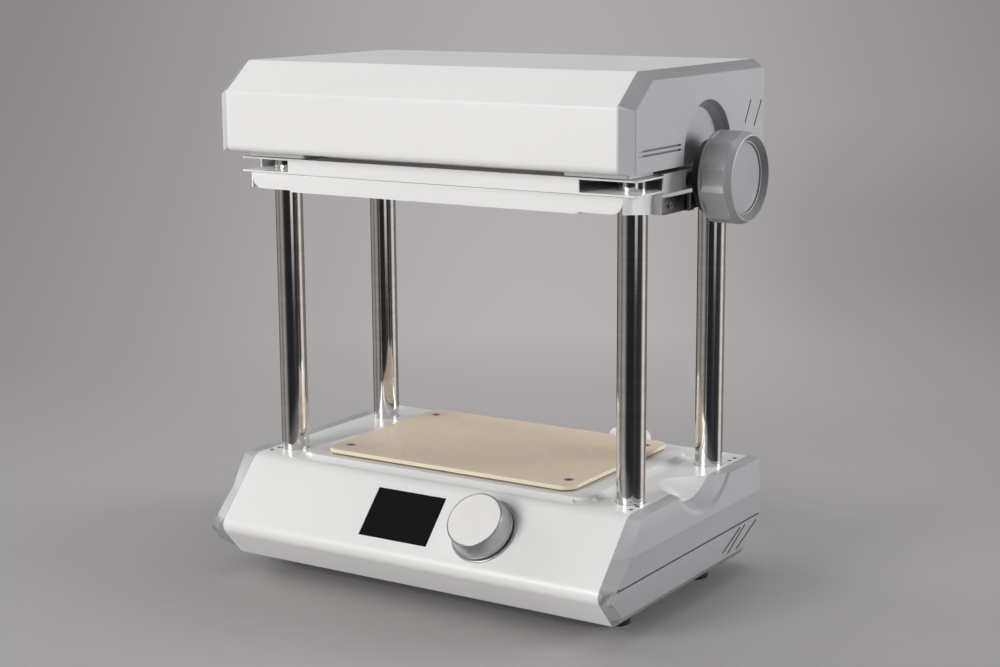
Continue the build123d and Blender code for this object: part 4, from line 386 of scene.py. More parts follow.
paints = {
    "shell_paint": shellPaint(),
    "carriage_paint": shellPaint("carriagePaint", 0.42, 0.1),
    "cap_plastic": silverPaint("capPaint", 0.40, capMasks, capLightAndShade),
    "column_steel": columnSteel(),
    "strap_steel": plainSteel("strapSteel", 0.32, 0.2, 0.34, along=(1.0, 0.05, 1.0)),
    "screw_steel": plainSteel("screwSteel", 0.30, 0.25, 0.4),
    "pan_steel": plainSteel("panSteel", 0.55, 0.3, 0.45, along=(0.05, 1.0, 1.0)),
    "knob_plastic": silverPaint("knobPaint", 0.34, knobMasks, knobLightAndShade, gloss=0.35),
    "screw_black": mouldedPlastic("screwBlack", 0.012, gloss=0.35, grain=1800.0),
    "black_plastic": mouldedPlastic("blackPlastic", 0.010, gloss=0.5),
    "foot_rubber": mouldedPlastic("footRubber", 0.010, gloss=0.8, grain=1400.0, depth=0.04),
    "plate_beige": beigePlate(),
    "glass_dark": darkGlass(),
    "dial_metal": satinAluminium("dialMetal"),
    "dial_white": mouldedPlastic("dialWhite", 0.84, (1.0, 0.985, 0.97), 0.35, 1200.0, 0.01, coat=0.2),
    "board_green": mouldedPlastic("boardGreen", 0.10, (0.25, 1.0, 0.5), 0.4),
    "ceramic_white": mouldedPlastic("ceramicWhite", 0.72, (1.0, 0.98, 0.93), 0.5),
    "insulation_wool": mouldedPlastic("insulationWool", 0.6, (1.0, 0.95, 0.86), 0.9, grain=300.0, depth=0.6),
}
print("materials made")

# the slot and the body of each of the frame's nodes
slotOf = {row["node"]: row["material_slot"] for row in frame["record"]["subparts"]}
bodyOf = {node: body for body, nodes in frame["record"]["behaviour"]["bodies"].items() for node in nodes}
for name, part in frame["nodes"].items():
    part.data.materials.clear()
    part.data.materials.append(paints[slotOf[name]])
# the plate's seal is brown silicone, paler than the feet
frame["nodes"]["plate_seal"].data.materials[0] = mouldedPlastic("sealSilicone", 0.17, (1.0, 0.84, 0.66), 0.6)


def place(name, mesh, stands, material=None):
    # a new piece: linked, painted, riding with the body of the node it stands for
    mesh.materials.clear()
    mesh.materials.append(material or paints[slotOf[stands]])
    piece = bpy.data.objects.new(name, mesh)
    bpy.context.scene.collection.objects.link(piece)
    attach(piece, bodyOf[stands])
    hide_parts(stands)
    return piece


# shape helpers: distances in mm
newWeld = 0.0005
nodeWeld = 0.002
tiny = 1e-6
straightRun = 0.12


def gridFaces(rows, columns, closed=False):
    # quads between neighbouring rows of a grid of points; closed joins the last column to the first
    index = np.arange(rows * columns).reshape(rows, columns)
    following = np.roll(index, -1, axis=1) if closed else index[:, 1:]
    here = index if closed else index[:, :-1]
    quads = np.stack([here[:-1], following[:-1], following[1:], here[1:]], axis=-1)
    return quads.reshape(-1, 4)


def meshFrom(name, points, faces):
    # a smooth mesh: weld the seam and the poles, then turn every face outwards
    mesh = bpy.data.meshes.new(name)
    mesh.from_pydata(np.asarray(points, float).tolist(), [], [tuple(face) for face in faces])
    shape = bmesh.new()
    shape.from_mesh(mesh)
    bmesh.ops.remove_doubles(shape, verts=shape.verts, dist=newWeld * mm)
    bmesh.ops.dissolve_degenerate(shape, edges=shape.edges, dist=newWeld * mm)
    bmesh.ops.recalc_face_normals(shape, faces=shape.faces)
    for face in shape.faces:
        face.smooth = True
    shape.to_mesh(mesh)
    shape.free()
    return mesh


def eased(corners, steps):
    # corners are (along, radius, rounding); each becomes an arc that touches both of its sides, and
    # a short straight run either side keeps the shading of the flats flat
    corners = np.asarray(corners, float)
    line = []
    for i, (along, radius, rounding) in enumerate(corners):
        here = np.array([along, radius])
        if rounding == 0 or i in (0, len(corners) - 1):
            line.append(here[None])
            continue
        back, ahead = corners[i - 1, :2] - here, corners[i + 1, :2] - here
        back, ahead = back / np.linalg.norm(back), ahead / np.linalg.norm(ahead)
        if abs(back[0] * ahead[1] - back[1] * ahead[0]) < tiny:
            line.append(here[None])
            continue
        half = math.acos(float(np.clip(back @ ahead, -1, 1))) / 2
        reach = rounding / math.tan(half)
        centre = here + (back + ahead) / np.linalg.norm(back + ahead) * rounding / math.sin(half)
        first, last = here + back * reach - centre, here + ahead * reach - centre
        share = np.linspace(0, 1, steps)[:, None]
        arc = first * (1 - share) + last * share
        arc = arc / np.linalg.norm(arc, axis=1)[:, None] * rounding + centre
        line.append(np.concatenate([arc[:1] + back * straightRun, arc, arc[-1:] + ahead * straightRun]))
    return np.concatenate(line)


def turned(name, profile, origin, axis, spokes):
    # point(t, angle) = origin + axis * along(t) + (side * cos + top * sin) * radius(t); profile in mm
    axis = Vector(axis).normalized()
    side = axis.orthogonal().normalized()
    top = axis.cross(side)
    angle = np.linspace(0, 2 * np.pi, spokes, endpoint=False)
    ring = np.cos(angle)[:, None] * np.array(side) + np.sin(angle)[:, None] * np.array(top)
    along, radius = profile[:, 0] * mm, profile[:, 1] * mm
    points = np.array(origin) + along[:, None, None] * np.array(axis) + radius[:, None, None] * ring[None]
    return meshFrom(name, points.reshape(-1, 3), gridFaces(len(profile), spokes, closed=True))


def joined(name, meshes):
    # several meshes of the same finish as one
    shape = bmesh.new()
    for mesh in meshes:
        shape.from_mesh(mesh)
    whole = bpy.data.meshes.new(name)
    shape.to_mesh(whole)
    shape.free()
    for polygon in whole.polygons:
        polygon.use_smooth = True
    return whole


# copies of the frame's nodes, welded, with small rounded edges; widths in mm
roundings = dict(
    clamp_strap=0.25, head_corner_pads=0.4, mains_inlet=0.4, switch_body=0.3, switch_rocker=0.5,
    display_glass=0.15, crank_shaft=0.3, strap_screws=0.2, base_screws=0.1, column_bushings=0.3)
sharpAngle = math.radians(38)
roundFlatAngle = 0.4


def welded(node, flatAngle):
    # a copy of a node's mesh, its triangles welded and those within flatAngle degrees joined
    mesh = frame["nodes"][node].data.copy()
    shape = bmesh.new()
    shape.from_mesh(mesh)
    bmesh.ops.remove_doubles(shape, verts=shape.verts, dist=nodeWeld * mm)
    bmesh.ops.dissolve_limit(shape, angle_limit=math.radians(flatAngle), verts=shape.verts, edges=shape.edges)
    for face in shape.faces:
        face.smooth = True
    shape.to_mesh(mesh)
    shape.free()
    if "custom_normal" in mesh.attributes:
        mesh.attributes.remove(mesh.attributes["custom_normal"])
    return mesh


def softened(node, width):
    # a live bevel on every edge sharper than sharpAngle
    piece = place(node + ".rounded", welded(node, roundFlatAngle), node)
    edge = piece.modifiers.new("Edge", "BEVEL")
    edge.width = width * mm
    edge.segments = 2
    edge.limit_method = "ANGLE"
    edge.angle_limit = sharpAngle
    edge.use_clamp_overlap = False
    edge.miter_outer = "MITER_ARC"
    edge.harden_normals = True


for node, width in roundings.items():
    softened(node, width)
print("frame parts rounded:", len(roundings))

# copies of the frame's nodes whose points are moved by a formula, or whose bends are rounded; mm and degrees
reshapeLook = dict(
    flatAngle=0.3, bandEnd=163.6, newEnd=159.9, bandSlack=1e-4,
    rimFrom=26.0, flangeRadius=24.5, flangeTaper=2.5,
    seatSpread=4.5, seatEnds=13.0, seatSides=4.0, deckSlack=0.01,
    cornerWidth=2.4, cornerSteps=6, cornerHeight=5.0, cornerTurn=(20, 60), upright=0.98)


def headCapPoints(points, look):
    # past bandEnd, |x| = face - (face - |x|) * (face - newEnd) / (face - bandEnd), so the bevel starts nearer
    # to the seam
    out = np.abs(points[:, 0])
    face = out.max()
    share = (face - look["newEnd"]) / (face - look["bandEnd"])
    moved = np.where(out > look["bandEnd"] - look["bandSlack"], face - (face - out) * share, out)
    points[:, 0] = np.sign(points[:, 0]) * moved
    return points


def flangePoints(points, look):
    # the rim's radius falls in a straight line from flangeRadius at the carriage to less at the knob
    centre = np.array((middle("knob_flange").y, middle("side_knob").z)) / mm
    spread = points[:, 1:] - centre
    radius = np.linalg.norm(spread, axis=1)
    rim = radius > look["rimFrom"]
    low, high = points[rim, 0].min(), points[rim, 0].max()
    wanted = look["flangeRadius"] - look["flangeTaper"] * (points[:, 0] - low) / (high - low)
    scale = np.where(rim, wanted / np.maximum(radius, tiny), 1.0)
    points[:, 1:] += spread * (scale - 1)[:, None]
    return points


def seatPoints(points, look):
    # the foot of the raised seat's slope moves outwards by seatSpread, so that the slope is gentle; it is
    # level with the deck and near the seat's ends or sides
    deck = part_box("base_shell")[1].z / mm
    away = points - (points.max(0) + points.min(0)) / 2
    half = np.abs(away).max(0)
    border = half[:2] - (look["seatEnds"], look["seatSides"])
    outer = (np.abs(away[:, :2]) > border).any(1)
    foot = outer & (np.abs(points[:, 2] - deck) < look["deckSlack"])
    points[foot, :2] *= (1 + look["seatSpread"] / half[:2])
    return points


def movePoints(mesh, formula, look):
    # every vertex goes where the formula puts it
    points = np.empty(len(mesh.vertices) * 3)
    mesh.vertices.foreach_get("co", points)
    mesh.vertices.foreach_set("co", (formula(points.reshape(-1, 3) / mm, look) * mm).ravel())


def roundBends(shape, look):
    # bevel the upright bends: edges along z, longer than cornerHeight, whose faces turn by cornerTurn degrees
    least, most = (math.radians(turn) for turn in look["cornerTurn"])
    bends = []
    for edge in shape.edges:
        along = edge.verts[0].co - edge.verts[1].co
        upright = abs(along.z) > look["upright"] * along.length
        if upright and along.length > look["cornerHeight"] * mm and len(edge.link_faces) == 2:
            if least < edge.calc_face_angle() < most:
                bends.append(edge)
    bmesh.ops.bevel(
        shape, geom=bends, offset=look["cornerWidth"] * mm, segments=look["cornerSteps"], profile=0.5,
        affect="EDGES", clamp_overlap=False)


def reshaped(node, look, formula=None):
    # move the copy's points by the formula or, without one, round its upright bends; then mark sharp edges
    mesh = welded(node, look["flatAngle"])
    if formula is not None:
        movePoints(mesh, formula, look)
    shape = bmesh.new()
    shape.from_mesh(mesh)
    if formula is None:
        roundBends(shape, look)
    shape.normal_update()
    for face in shape.faces:
        face.smooth = True
    for edge in shape.edges:
        edge.smooth = len(edge.link_faces) == 2 and edge.calc_face_angle() < sharpAngle
    shape.to_mesh(mesh)
    shape.free()
    place(node + ".shaped", mesh, node)


reshaped("head_cap_left", reshapeLook, headCapPoints)
reshaped("head_cap_right", reshapeLook, headCapPoints)
reshaped("knob_flange", reshapeLook, flangePoints)
reshaped("plate_seat", reshapeLook, seatPoints)
reshaped("clamp_tray", reshapeLook)
print("reshaped copies made")

# columns: ground bars with a small chamfer and a tapped hole in the top
columnLook = dict(radius=10.0, chamfer=1.0, bore=4.05, boreDepth=25.0, spokes=128)


def makeColumn(node, look):
    # the profile, as (height, radius, rounding), runs up the outside and down into the hole
    low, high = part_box(node)
    length = (high.z - low.z) / mm
    cut, radius, bore = look["chamfer"], look["radius"], look["bore"]
    floor = length - look["boreDepth"]
    profile = eased([
        (0, 0, 0), (0, radius - cut, 0.15), (cut, radius, 0.3), (length - cut, radius, 0.3),
        (length, radius - cut, 0.15), (length, bore, 0.1), (floor, bore, 0.1), (floor, 0, 0)], 4)
    centre = middle(node)
    mesh = turned(node + ".bar", profile, (centre.x, centre.y, low.z), (0, 0, 1), look["spokes"])
    place(node + ".bar", mesh, node)


for node in ("column_front_left", "column_front_right", "column_rear_left", "column_rear_right"):
    makeColumn(node, columnLook)
print("columns made")

# side knob: round lip, ten shallow finger flutes, a rounded nose, a cone and a sunken face
knobLook = dict(
    radius=31.0, depth=24.0, bore=4.05, boreDepth=14.5, rim=2.0, nose=5.2, flutes=10, fluteRadius=40.0,
    fluteDepth=1.6, fluteBlur=0.02, fade=1.5, rimFade=0.7, ridge=28.0, faceRadius=23.4, crown=0.8, recess=6.6,
    cone=3.6, lipRound=0.95, noseRound=6.0, arcSteps=9, bandRows=(12, 8, 14), spokes=720)


def smoothStep(share):
    return share * share * (3 - 2 * share)


def knobProfile(look):
    # (distance from the back, radius) along the bore, the lip, the nose and the cone to the sunken face, with
    # more rows across the fluted band; also how many rows come before that band
    big, deep, ridge, face = (look[k] for k in ("radius", "depth", "ridge", "faceRadius"))
    noseStart = deep - look["nose"]
    coneEnd, floor = deep - look["cone"], deep - look["recess"]
    crown = face + look["crown"]
    profile = eased([
        (look["boreDepth"], 0, 0), (look["boreDepth"], look["bore"], 0.1), (0, look["bore"], 0.3),
        (0, big, look["lipRound"]), (noseStart, big, look["noseRound"]), (deep, ridge + 0.6, 1.2),
        (deep, ridge - 0.4, 0.5), (coneEnd - 0.4, crown + 0.3, 0.2), (coneEnd, crown, 0.15),
        (coneEnd, face, 0.15), (floor, face, 0.1), (floor, 0, 0)], look["arcSteps"])
    straight = np.nonzero(profile[:, 1] >= big - tiny)[0]
    before, after = profile[:straight[0] + 1], profile[straight[-1]:]
    lipRows, middleRows, noseRows = look["bandRows"]
    fadeStart = noseStart - look["fade"]
    rows = np.concatenate([
        np.linspace(look["rim"] - 0.9, look["rim"] + look["fade"], lipRows),
        np.linspace(look["rim"] + 2.0, fadeStart - 0.8, middleRows),
        np.linspace(fadeStart - 0.5, noseStart + 1.2, noseRows)])
    rows = rows[(rows > before[-1, 0] + 0.05) & (rows < after[0, 0] - 0.05)]
    band = np.stack([rows, np.full(len(rows), big)], 1)
    return np.concatenate([before, band, after]), len(before)


def makeKnob(look):
    # radius(x, angle) = profile(x) less the flute's dip there: the flute is a cylinder of fluteRadius
    # whose axis stands off the knob, and its dip fades out towards the lip and the nose
    back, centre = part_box("side_knob")[0].x / mm, middle("side_knob") / mm
    big = look["radius"]
    profile, rowsBefore = knobProfile(look)
    along, radius = profile[:, 0], profile[:, 1]
    angle = np.linspace(0, 2 * np.pi, look["spokes"], endpoint=False)
    step = 2 * np.pi / look["flutes"]
    off = (angle + step / 2) % step - step / 2
    stand = big + look["fluteRadius"] - look["fluteDepth"]
    bite = stand * np.cos(off) - np.sqrt(np.maximum(look["fluteRadius"] ** 2 - (stand * np.sin(off)) ** 2, 0))
    blur = look["fluteBlur"]
    dip = np.sqrt(np.maximum(big - bite, 0) ** 2 + blur ** 2) - blur
    rise = np.clip((along - look["rim"]) / look["rimFade"], 0, 1)
    fall = np.clip((look["depth"] - look["nose"] + 0.6 - along) / look["fade"], 0, 1)
    window = np.minimum(smoothStep(rise), smoothStep(fall))
    window = window * (radius > big - 1.2) * (np.arange(len(profile)) >= rowsBefore - 3)
    radii = radius[:, None] - window[:, None] * dip[None]
    points = np.stack([
        np.broadcast_to(back + along[:, None], radii.shape),
        centre.y + radii * -np.cos(angle)[None],
        centre.z + radii * np.sin(angle)[None]], -1) * mm
    faces = gridFaces(len(profile), look["spokes"], closed=True)
    place("side_knob.grip", meshFrom("side_knob.grip", points.reshape(-1, 3), faces), "side_knob")


makeKnob(knobLook)

# knob face: a shallow domed disc with a stepped rim
faceLook = dict(radius=23.25, rim=21.6, step=0.5, dome=0.5, domeRows=10, spokes=128)


def makeKnobFace(look):
    # height(share) = thick - dome * share^2 over the dome, whose radius is rim * share
    low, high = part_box("knob_face")
    thick = (high.x - low.x) / mm
    share = np.linspace(1, 0, look["domeRows"])
    dome = np.stack([thick - look["dome"] * share ** 2, look["rim"] * share], 1)
    stepHeight = thick - look["step"]
    rim = eased([
        (0, 0, 0), (0, look["radius"], 0.1), (stepHeight, look["radius"], 0.3),
        (stepHeight, look["rim"] + 0.5, 0.1), (thick - look["dome"], look["rim"], 0)], 4)
    centre = middle("knob_face")
    origin = (low.x, centre.y, centre.z)
    mesh = turned("knob_face.disc", np.concatenate([rim, dome[1:]]), origin, (1, 0, 0), look["spokes"])
    place("knob_face.disc", mesh, "knob_face")


makeKnobFace(faceLook)
print("side knob made")

# control dial: its axis is the slope's outward direction through the middle of its ring
dialLook = dict(
    foot=22.6, top=20.4, height=14.6, skirt=1.2, edge=0.8, face=19.4, faceDepth=1.0, faceSink=0.2,
    faceGap=0.05, ringRadius=24.3, ringHeight=1.2, gap=1.3, bush=4.6, shaft=3.0, shaftDepth=3.0, hub=3.0,
    hubDepth=4.0, wall=2.0, arcSteps=5, spokes=160)


def slopeAxis():
    # the display's glass is flat on the slope, so the direction of its thinnest side is the slope's normal
    spread = np.array([vertex.co for vertex in frame["nodes"]["display_glass"].data.vertices])
    centred = spread - spread.mean(0)
    normal = np.linalg.svd(centred, full_matrices=False)[2][2]
    return Vector(normal if normal[2] > 0 else -normal)


def makeDial(look):
    # three turned pieces on one axis; heights are measured from the ring's foot on the slope
    axis = slopeAxis()
    ring = np.array([vertex.co for vertex in frame["nodes"]["dial_ring"].data.vertices])
    heights = ring @ np.array(axis)
    centre = Vector(ring[heights < heights.min() + 0.01 * mm].mean(0))
    ringBase = Vector((centre.x, middle("dial_ring").y, middle("dial_ring").z))
    foot = ringBase + axis * (heights.min() - ringBase.dot(axis))

    def put(name, node, corners):
        place(name, turned(name, eased(corners, look["arcSteps"]), foot, axis, look["spokes"]), node)

    bush, ringHeight = look["bush"], look["ringHeight"]
    put("dial_ring.band", "dial_ring", [
        (0, bush, 0), (0, look["ringRadius"], 0.1), (ringHeight, look["ringRadius"], 0.45),
        (ringHeight, bush, 0.1), (0, bush, 0)])
    low = ringHeight + look["gap"]
    high = low + look["height"]
    skirt = low + look["skirt"]
    shaft, hub, inner = look["shaft"], look["shaft"] + look["hub"], look["top"] - look["wall"]
    socket, hollow, floor = high - look["shaftDepth"], high - look["hubDepth"], high - look["faceDepth"]
    put("control_dial.grip", "control_dial", [
        (socket, 0, 0), (socket, shaft, 0.05), (low, shaft, 0.1), (low, hub, 0.1), (hollow, hub, 0.1),
        (hollow, inner, 0.1), (low, inner, 0.1), (low, look["foot"], 0.35), (skirt, look["foot"], 0.35),
        (skirt + 0.35, look["foot"] - 0.5, 0.3), (high - look["edge"], look["top"], 0.4),
        (high, look["top"] - 0.6, 0.3), (high, look["face"], 0.1), (floor, look["face"], 0.05),
        (floor, 0, 0)])
    face, sunk = look["face"] - look["faceGap"], high - look["faceSink"]
    put("dial_face.disc", "dial_face", [(floor, 0, 0), (floor, face, 0.05), (sunk, face, 0.3), (sunk, 0, 0)])


makeDial(dialLook)
print("dial made")

# small round parts: the black screws outboard of the columns, and the rubber feet
screwLook = dict(radius=1.8, dome=0.6, crown=0.55, spokes=24)


def makeCornerScrews(look):
    # two screws at each corner, at the ends of the frame node's rows of y in front and behind
    points = np.array([vertex.co for vertex in frame["nodes"]["corner_screws"].data.vertices]) / mm
    low, high = points[:, 2].min(), points[:, 2].max()
    x = (np.abs(points[:, 0]).min() + np.abs(points[:, 0]).max()) / 2
    rise, radius = high - low, look["radius"]
    profile = eased([
        (0, 0, 0), (0, radius, 0.2), (rise - look["dome"], radius, 0.25), (rise, radius * look["crown"], 0.6),
        (rise, 0, 0)], 4)
    rows = []
    for row in (points[points[:, 1] < 0, 1], points[points[:, 1] > 0, 1]):
        rows += [row.min() + radius, row.max() - radius]
    meshes = [turned("screw", profile, (side * x * mm, y * mm, low * mm), (0, 0, 1), look["spokes"])
              for side in (-1, 1) for y in rows]
    place("corner_screws.set", joined("corner_screws.set", meshes), "corner_screws")


makeCornerScrews(screwLook)

footLook = dict(
    radius=10.0, foot=9.0, recess=4.8, recessDepth=7.25, hole=2.05, shoulder=1.0, topEase=0.3, spokes=48)


def makeFeet(look):
    # a foot at each corner of the frame node; the profile starts at the screw hole and runs round the outside
    mesh = frame["nodes"]["rubber_feet"].data
    points = np.array([vertex.co for vertex in mesh.vertices]) / mm
    high, radius = points[:, 2].max(), look["radius"]
    x = np.abs(points[:, 0]).max() - radius
    front, back = points[:, 1].min() + radius, points[:, 1].max() - radius
    floor, hole, recess = look["recessDepth"], look["hole"], look["recess"]
    profile = eased([
        (floor, hole, 0), (floor, recess, 0.2), (0, recess, 0.3), (0, look["foot"], 0.9),
        (high - look["shoulder"], radius, 0.8), (high, radius - look["topEase"], 0.2), (high, hole, 0.05),
        (floor, hole, 0)], 5)
    meshes = [turned("foot", profile, (side * x * mm, y * mm, 0), (0, 0, 1), look["spokes"])
              for side in (-1, 1) for y in (front, back)]
    place("rubber_feet.set", joined("rubber_feet.set", meshes), "rubber_feet")


makeFeet(footLook)
print("small round parts made")

# form plate: a rounded slab whose middle is a square grid of fine holes cut right through
plateLook = dict(
    corner=10.0, edge=0.45, edgeNick=0.3, cornerSteps=10, pitch=3.2, holeRadius=0.55, columns=54, rows=38,
    weld=0.001, screwX=93.5, screwY=55.5, screwRadius=3.65, screwBore=1.55, screwDepth=2.1, screwSteps=32)


def roundedOutline(halfX, halfY, radius, steps):
    # a closed line round a rectangle whose corners are quarter circles
    quarter = np.linspace(0, np.pi / 2, steps)
    runs = []
    for sx, sy, turn in ((1, 1, 0), (-1, 1, 1), (-1, -1, 2), (1, -1, 3)):
        angle = quarter + turn * np.pi / 2
        x = sx * (halfX - radius) + radius * np.cos(angle)
        y = sy * (halfY - radius) + radius * np.sin(angle)
        runs.append(np.stack([x, y], 1))
    return np.concatenate(runs)


def perforatedGrid(look):
    # flat points and quads of a square grid in which each cell has an eight-sided hole; also the holes' rims
    sides = 8
    pitch, columns, rows = look["pitch"], look["columns"], look["rows"]
    angle = np.arange(sides) * 2 * np.pi / sides
    circle = np.stack([np.cos(angle), np.sin(angle)], 1)
    square = np.clip(np.sqrt(2) * circle, -1, 1)
    cell = np.concatenate([square * pitch / 2, circle * look["holeRadius"]])
    x = (np.arange(columns) - (columns - 1) / 2) * pitch
    y = (np.arange(rows) - (rows - 1) / 2) * pitch
    centres = np.stack(np.meshgrid(x, y, indexing="ij"), -1).reshape(-1, 2)
    points = (centres[:, None] + cell[None]).reshape(-1, 2)
    here = np.arange(sides)
    following = (here + 1) % sides
    quad = np.stack([here, following, following + sides, here + sides], 1)
    base = np.arange(len(centres))[:, None, None] * len(cell)
    return points, (quad[None] + base).reshape(-1, 4), (here + sides)[None] + base[:, 0]


def plateMiddle(shape, top, bottom, look):
    # the perforated grid at both heights, joined by the walls of its holes
    points, quads, rims = perforatedGrid(look)
    count = len(points)
    upper, lower = (np.column_stack([points, np.full(count, z)]) for z in (top, bottom))
    around = np.roll(rims, -1, axis=1)
    walls = np.stack([rims, around, around + count, rims + count], -1).reshape(-1, 4)
    faces = np.concatenate([quads, quads[:, ::-1] + count, walls])
    grid = bpy.data.meshes.new("grid")
    grid.from_pydata((np.concatenate([upper, lower]) * mm).tolist(), [], faces.tolist())
    shape.from_mesh(grid)
    bmesh.ops.remove_doubles(shape, verts=shape.verts, dist=look["weld"] * mm)


def neighbours(loop):
    return zip(loop, loop[1:] + loop[:1])


def plateEdge(shape, halfX, halfY, top, bottom, look):
    # the rounded edge all round, as loops of vertices from the top face to the bottom face
    edge, nick = look["edge"], look["edge"] * look["edgeNick"]
    steps = ((edge, top), (nick, top - nick), (0.0, top - edge), (0.0, bottom + edge), (nick, bottom + nick),
             (edge, bottom))
    loops = []
    for inset, z in steps:
        line = roundedOutline(halfX - inset, halfY - inset, look["corner"] - inset, look["cornerSteps"])
        loops.append([shape.verts.new((x * mm, y * mm, z * mm)) for x, y in line])
    for first, second in zip(loops[:-1], loops[1:]):
        for (a, b), (c, d) in zip(neighbours(first), neighbours(second)):
            shape.faces.new((a, c, d, b))
    return loops[0], loops[-1]


def plateBorder(shape, loop, z, holeRadius, look):
    # the flat face between the edge and the grid at height z; returns the rings of the screw holes left in it
    edges = [shape.edges.get(pair) for pair in neighbours(loop)]
    edges += [edge for edge in shape.edges if edge.is_boundary and edge not in edges
              and all(abs(vertex.co.z - z * mm) < tiny for vertex in edge.verts)]
    angle = np.linspace(0, 2 * np.pi, look["screwSteps"], endpoint=False)
    rings = []
    for sx in (-1, 1):
        for sy in (-1, 1):
            x = (sx * look["screwX"] + holeRadius * np.cos(angle)) * mm
            y = (sy * look["screwY"] + holeRadius * np.sin(angle)) * mm
            ring = [shape.verts.new((across, along, z * mm)) for across, along in zip(x, y)]
            edges += [shape.edges.new(pair) for pair in neighbours(ring)]
            rings.append(ring)
    bmesh.ops.triangle_fill(shape, edges=edges, use_beauty=True)
    return rings


def countersink(shape, upper, lower, z):
    # a cone from the upper ring down to the bore's width at z, and the bore down to the lower ring
    waist = [shape.verts.new((vertex.co.x, vertex.co.y, z * mm)) for vertex in lower]
    for (a, b), (c, d), (e, f) in zip(neighbours(upper), neighbours(waist), neighbours(lower)):
        shape.faces.new((a, b, d, c))
        shape.faces.new((c, d, f, e))


def makePlate(look):
    # worked out about the plate's own middle, then moved back along y
    low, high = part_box("form_plate")
    top, bottom = high.z / mm, low.z / mm
    shape = bmesh.new()
    plateMiddle(shape, top, bottom, look)
    upperLoop, lowerLoop = plateEdge(shape, high.x / mm, (high.y - low.y) / 2 / mm, top, bottom, look)
    upperRings = plateBorder(shape, upperLoop, top, look["screwRadius"], look)
    lowerRings = plateBorder(shape, lowerLoop, bottom, look["screwBore"], look)
    for upper, lower in zip(upperRings, lowerRings):
        countersink(shape, upper, lower, top - look["screwDepth"])
    bmesh.ops.recalc_face_normals(shape, faces=shape.faces)
    bmesh.ops.translate(shape, verts=shape.verts, vec=(0, (high.y + low.y) / 2, 0))
    mesh = bpy.data.meshes.new("form_plate.slab")
    shape.to_mesh(mesh)
    openEdges = sum(1 for edge in shape.edges if not edge.is_manifold)
    print("plate edges left open:", openEdges, "faces:", len(mesh.polygons))
    shape.free()
    place("form_plate.slab", mesh, "form_plate")


makePlate(plateLook)
print("form plate made")

# stage: the floor, the backdrop and the room that the bars mirror. A fade is from and to, in metres from the
# middle on the floor and as the direction's share of up, down or right in the room
stageLook = dict(
    floorReach=9.0, floorSpokes=96, floorTone=0.395, floorTint=(1.0, 0.968, 0.965), floorRough=0.62,
    floorFade=(0.25, 0.9), mirrorFade=(0.25, 0.5),
    backAzimuth=31.5, backBase=0.20, backDrop=0.265, backDropMost=0.4, backGlow=0.21, backSpread=0.022,
    backTint=(1.0, 0.95, 0.955), backGain=1.015,
    backShade=0.15, shadeRight=(0.06, 0.15), shadeTop=(0.08, 0.13), shadeFoot=(0.16, 0.22),
    fill=0.18, roomAzimuth=30.0, roomAbove=0.34, horizon=(-0.02, 0.03), stripFade=(-0.172, -0.118))

# tone of the room round the polished bars: degrees to the right of the camera as the bars see it
roomBands = [
    (-180, 0.05), (-142, 0.06), (-134, 0.28), (-102, 0.38), (-92, 0.22), (-86, 0.17), (-80, 0.30),
    (-66, 0.42), (-57, 0.34), (-48, 0.16), (-40, 0.05), (-35, 0.022), (8, 0.022), (22, 0.045), (42, 0.03),
    (74, 0.05), (84, 0.45), (90, 0.85), (108, 0.85), (117, 0.30), (128, 0.16), (140, 0.26), (156, 0.20),
    (180, 0.05)]
stripBand = [(0, 0.0), (14, 0.0), (19, 1.0), (34, 1.0), (39, 0.0)]


def rayKinds(owner, *kinds):
    outputs = owner.node("ShaderNodeLightPath").socket.node.outputs
    return [Wire(owner, outputs["Is " + kind + " Ray"]) for kind in kinds]


def floorPaper(look):
    # fade = reach ranged from near to far, sooner for mirror rays, turning the paper transparent
    m = Finish("floorPaper")
    x, y = m.axes()[:2]
    reach = (x * x + y * y).root()
    seen, mirrored = rayKinds(m, "Camera", "Glossy")
    fade = m.ranged(reach, *look["floorFade"], 0.0, 1.0) * seen
    fade = (fade + m.ranged(reach, *look["mirrorFade"], 0.0, 1.0) * mirrored).clip(0.0, 1.0)
    fibre = m.noise(60.0, detail=4.0, roughness=0.6)
    value, tint = look["floorTone"], look["floorTint"]
    colour = m.mottled(fibre, tone(value * 0.98, *tint), tone(value, *tint))
    paper = m.node("ShaderNodeBsdfPrincipled", None, {
        "Base Color": colour, "Roughness": look["floorRough"], "Normal": m.bump(fibre, 0.1, 0.2)})
    gone = m.node("ShaderNodeBsdfTransparent")
    mixed = m.node("ShaderNodeMixShader", None, {0: fade, 1: paper, 2: gone})
    m.node("ShaderNodeOutputMaterial", None, {0: mixed})
    return m.material


def makeFloor(look):
    # one big disc: its middle joined to the points of a circle of radius floorReach
    spokes = look["floorSpokes"]
    angle = np.linspace(0, 2 * np.pi, spokes, endpoint=False)
    circle = np.stack([np.cos(angle), np.sin(angle), 0 * angle], 1) * look["floorReach"]
    first = np.arange(spokes) + 1
    faces = np.stack([np.zeros(spokes, int), first, np.roll(first, -1)], 1)
    mesh = bpy.data.meshes.new("floor")
    mesh.from_pydata(np.concatenate([[[0, 0, 0]], circle]).tolist(), [], faces.tolist())
    mesh.materials.append(floorPaper(look))
    floor = bpy.data.objects.new("floor", mesh)
    bpy.context.scene.collection.objects.link(floor)


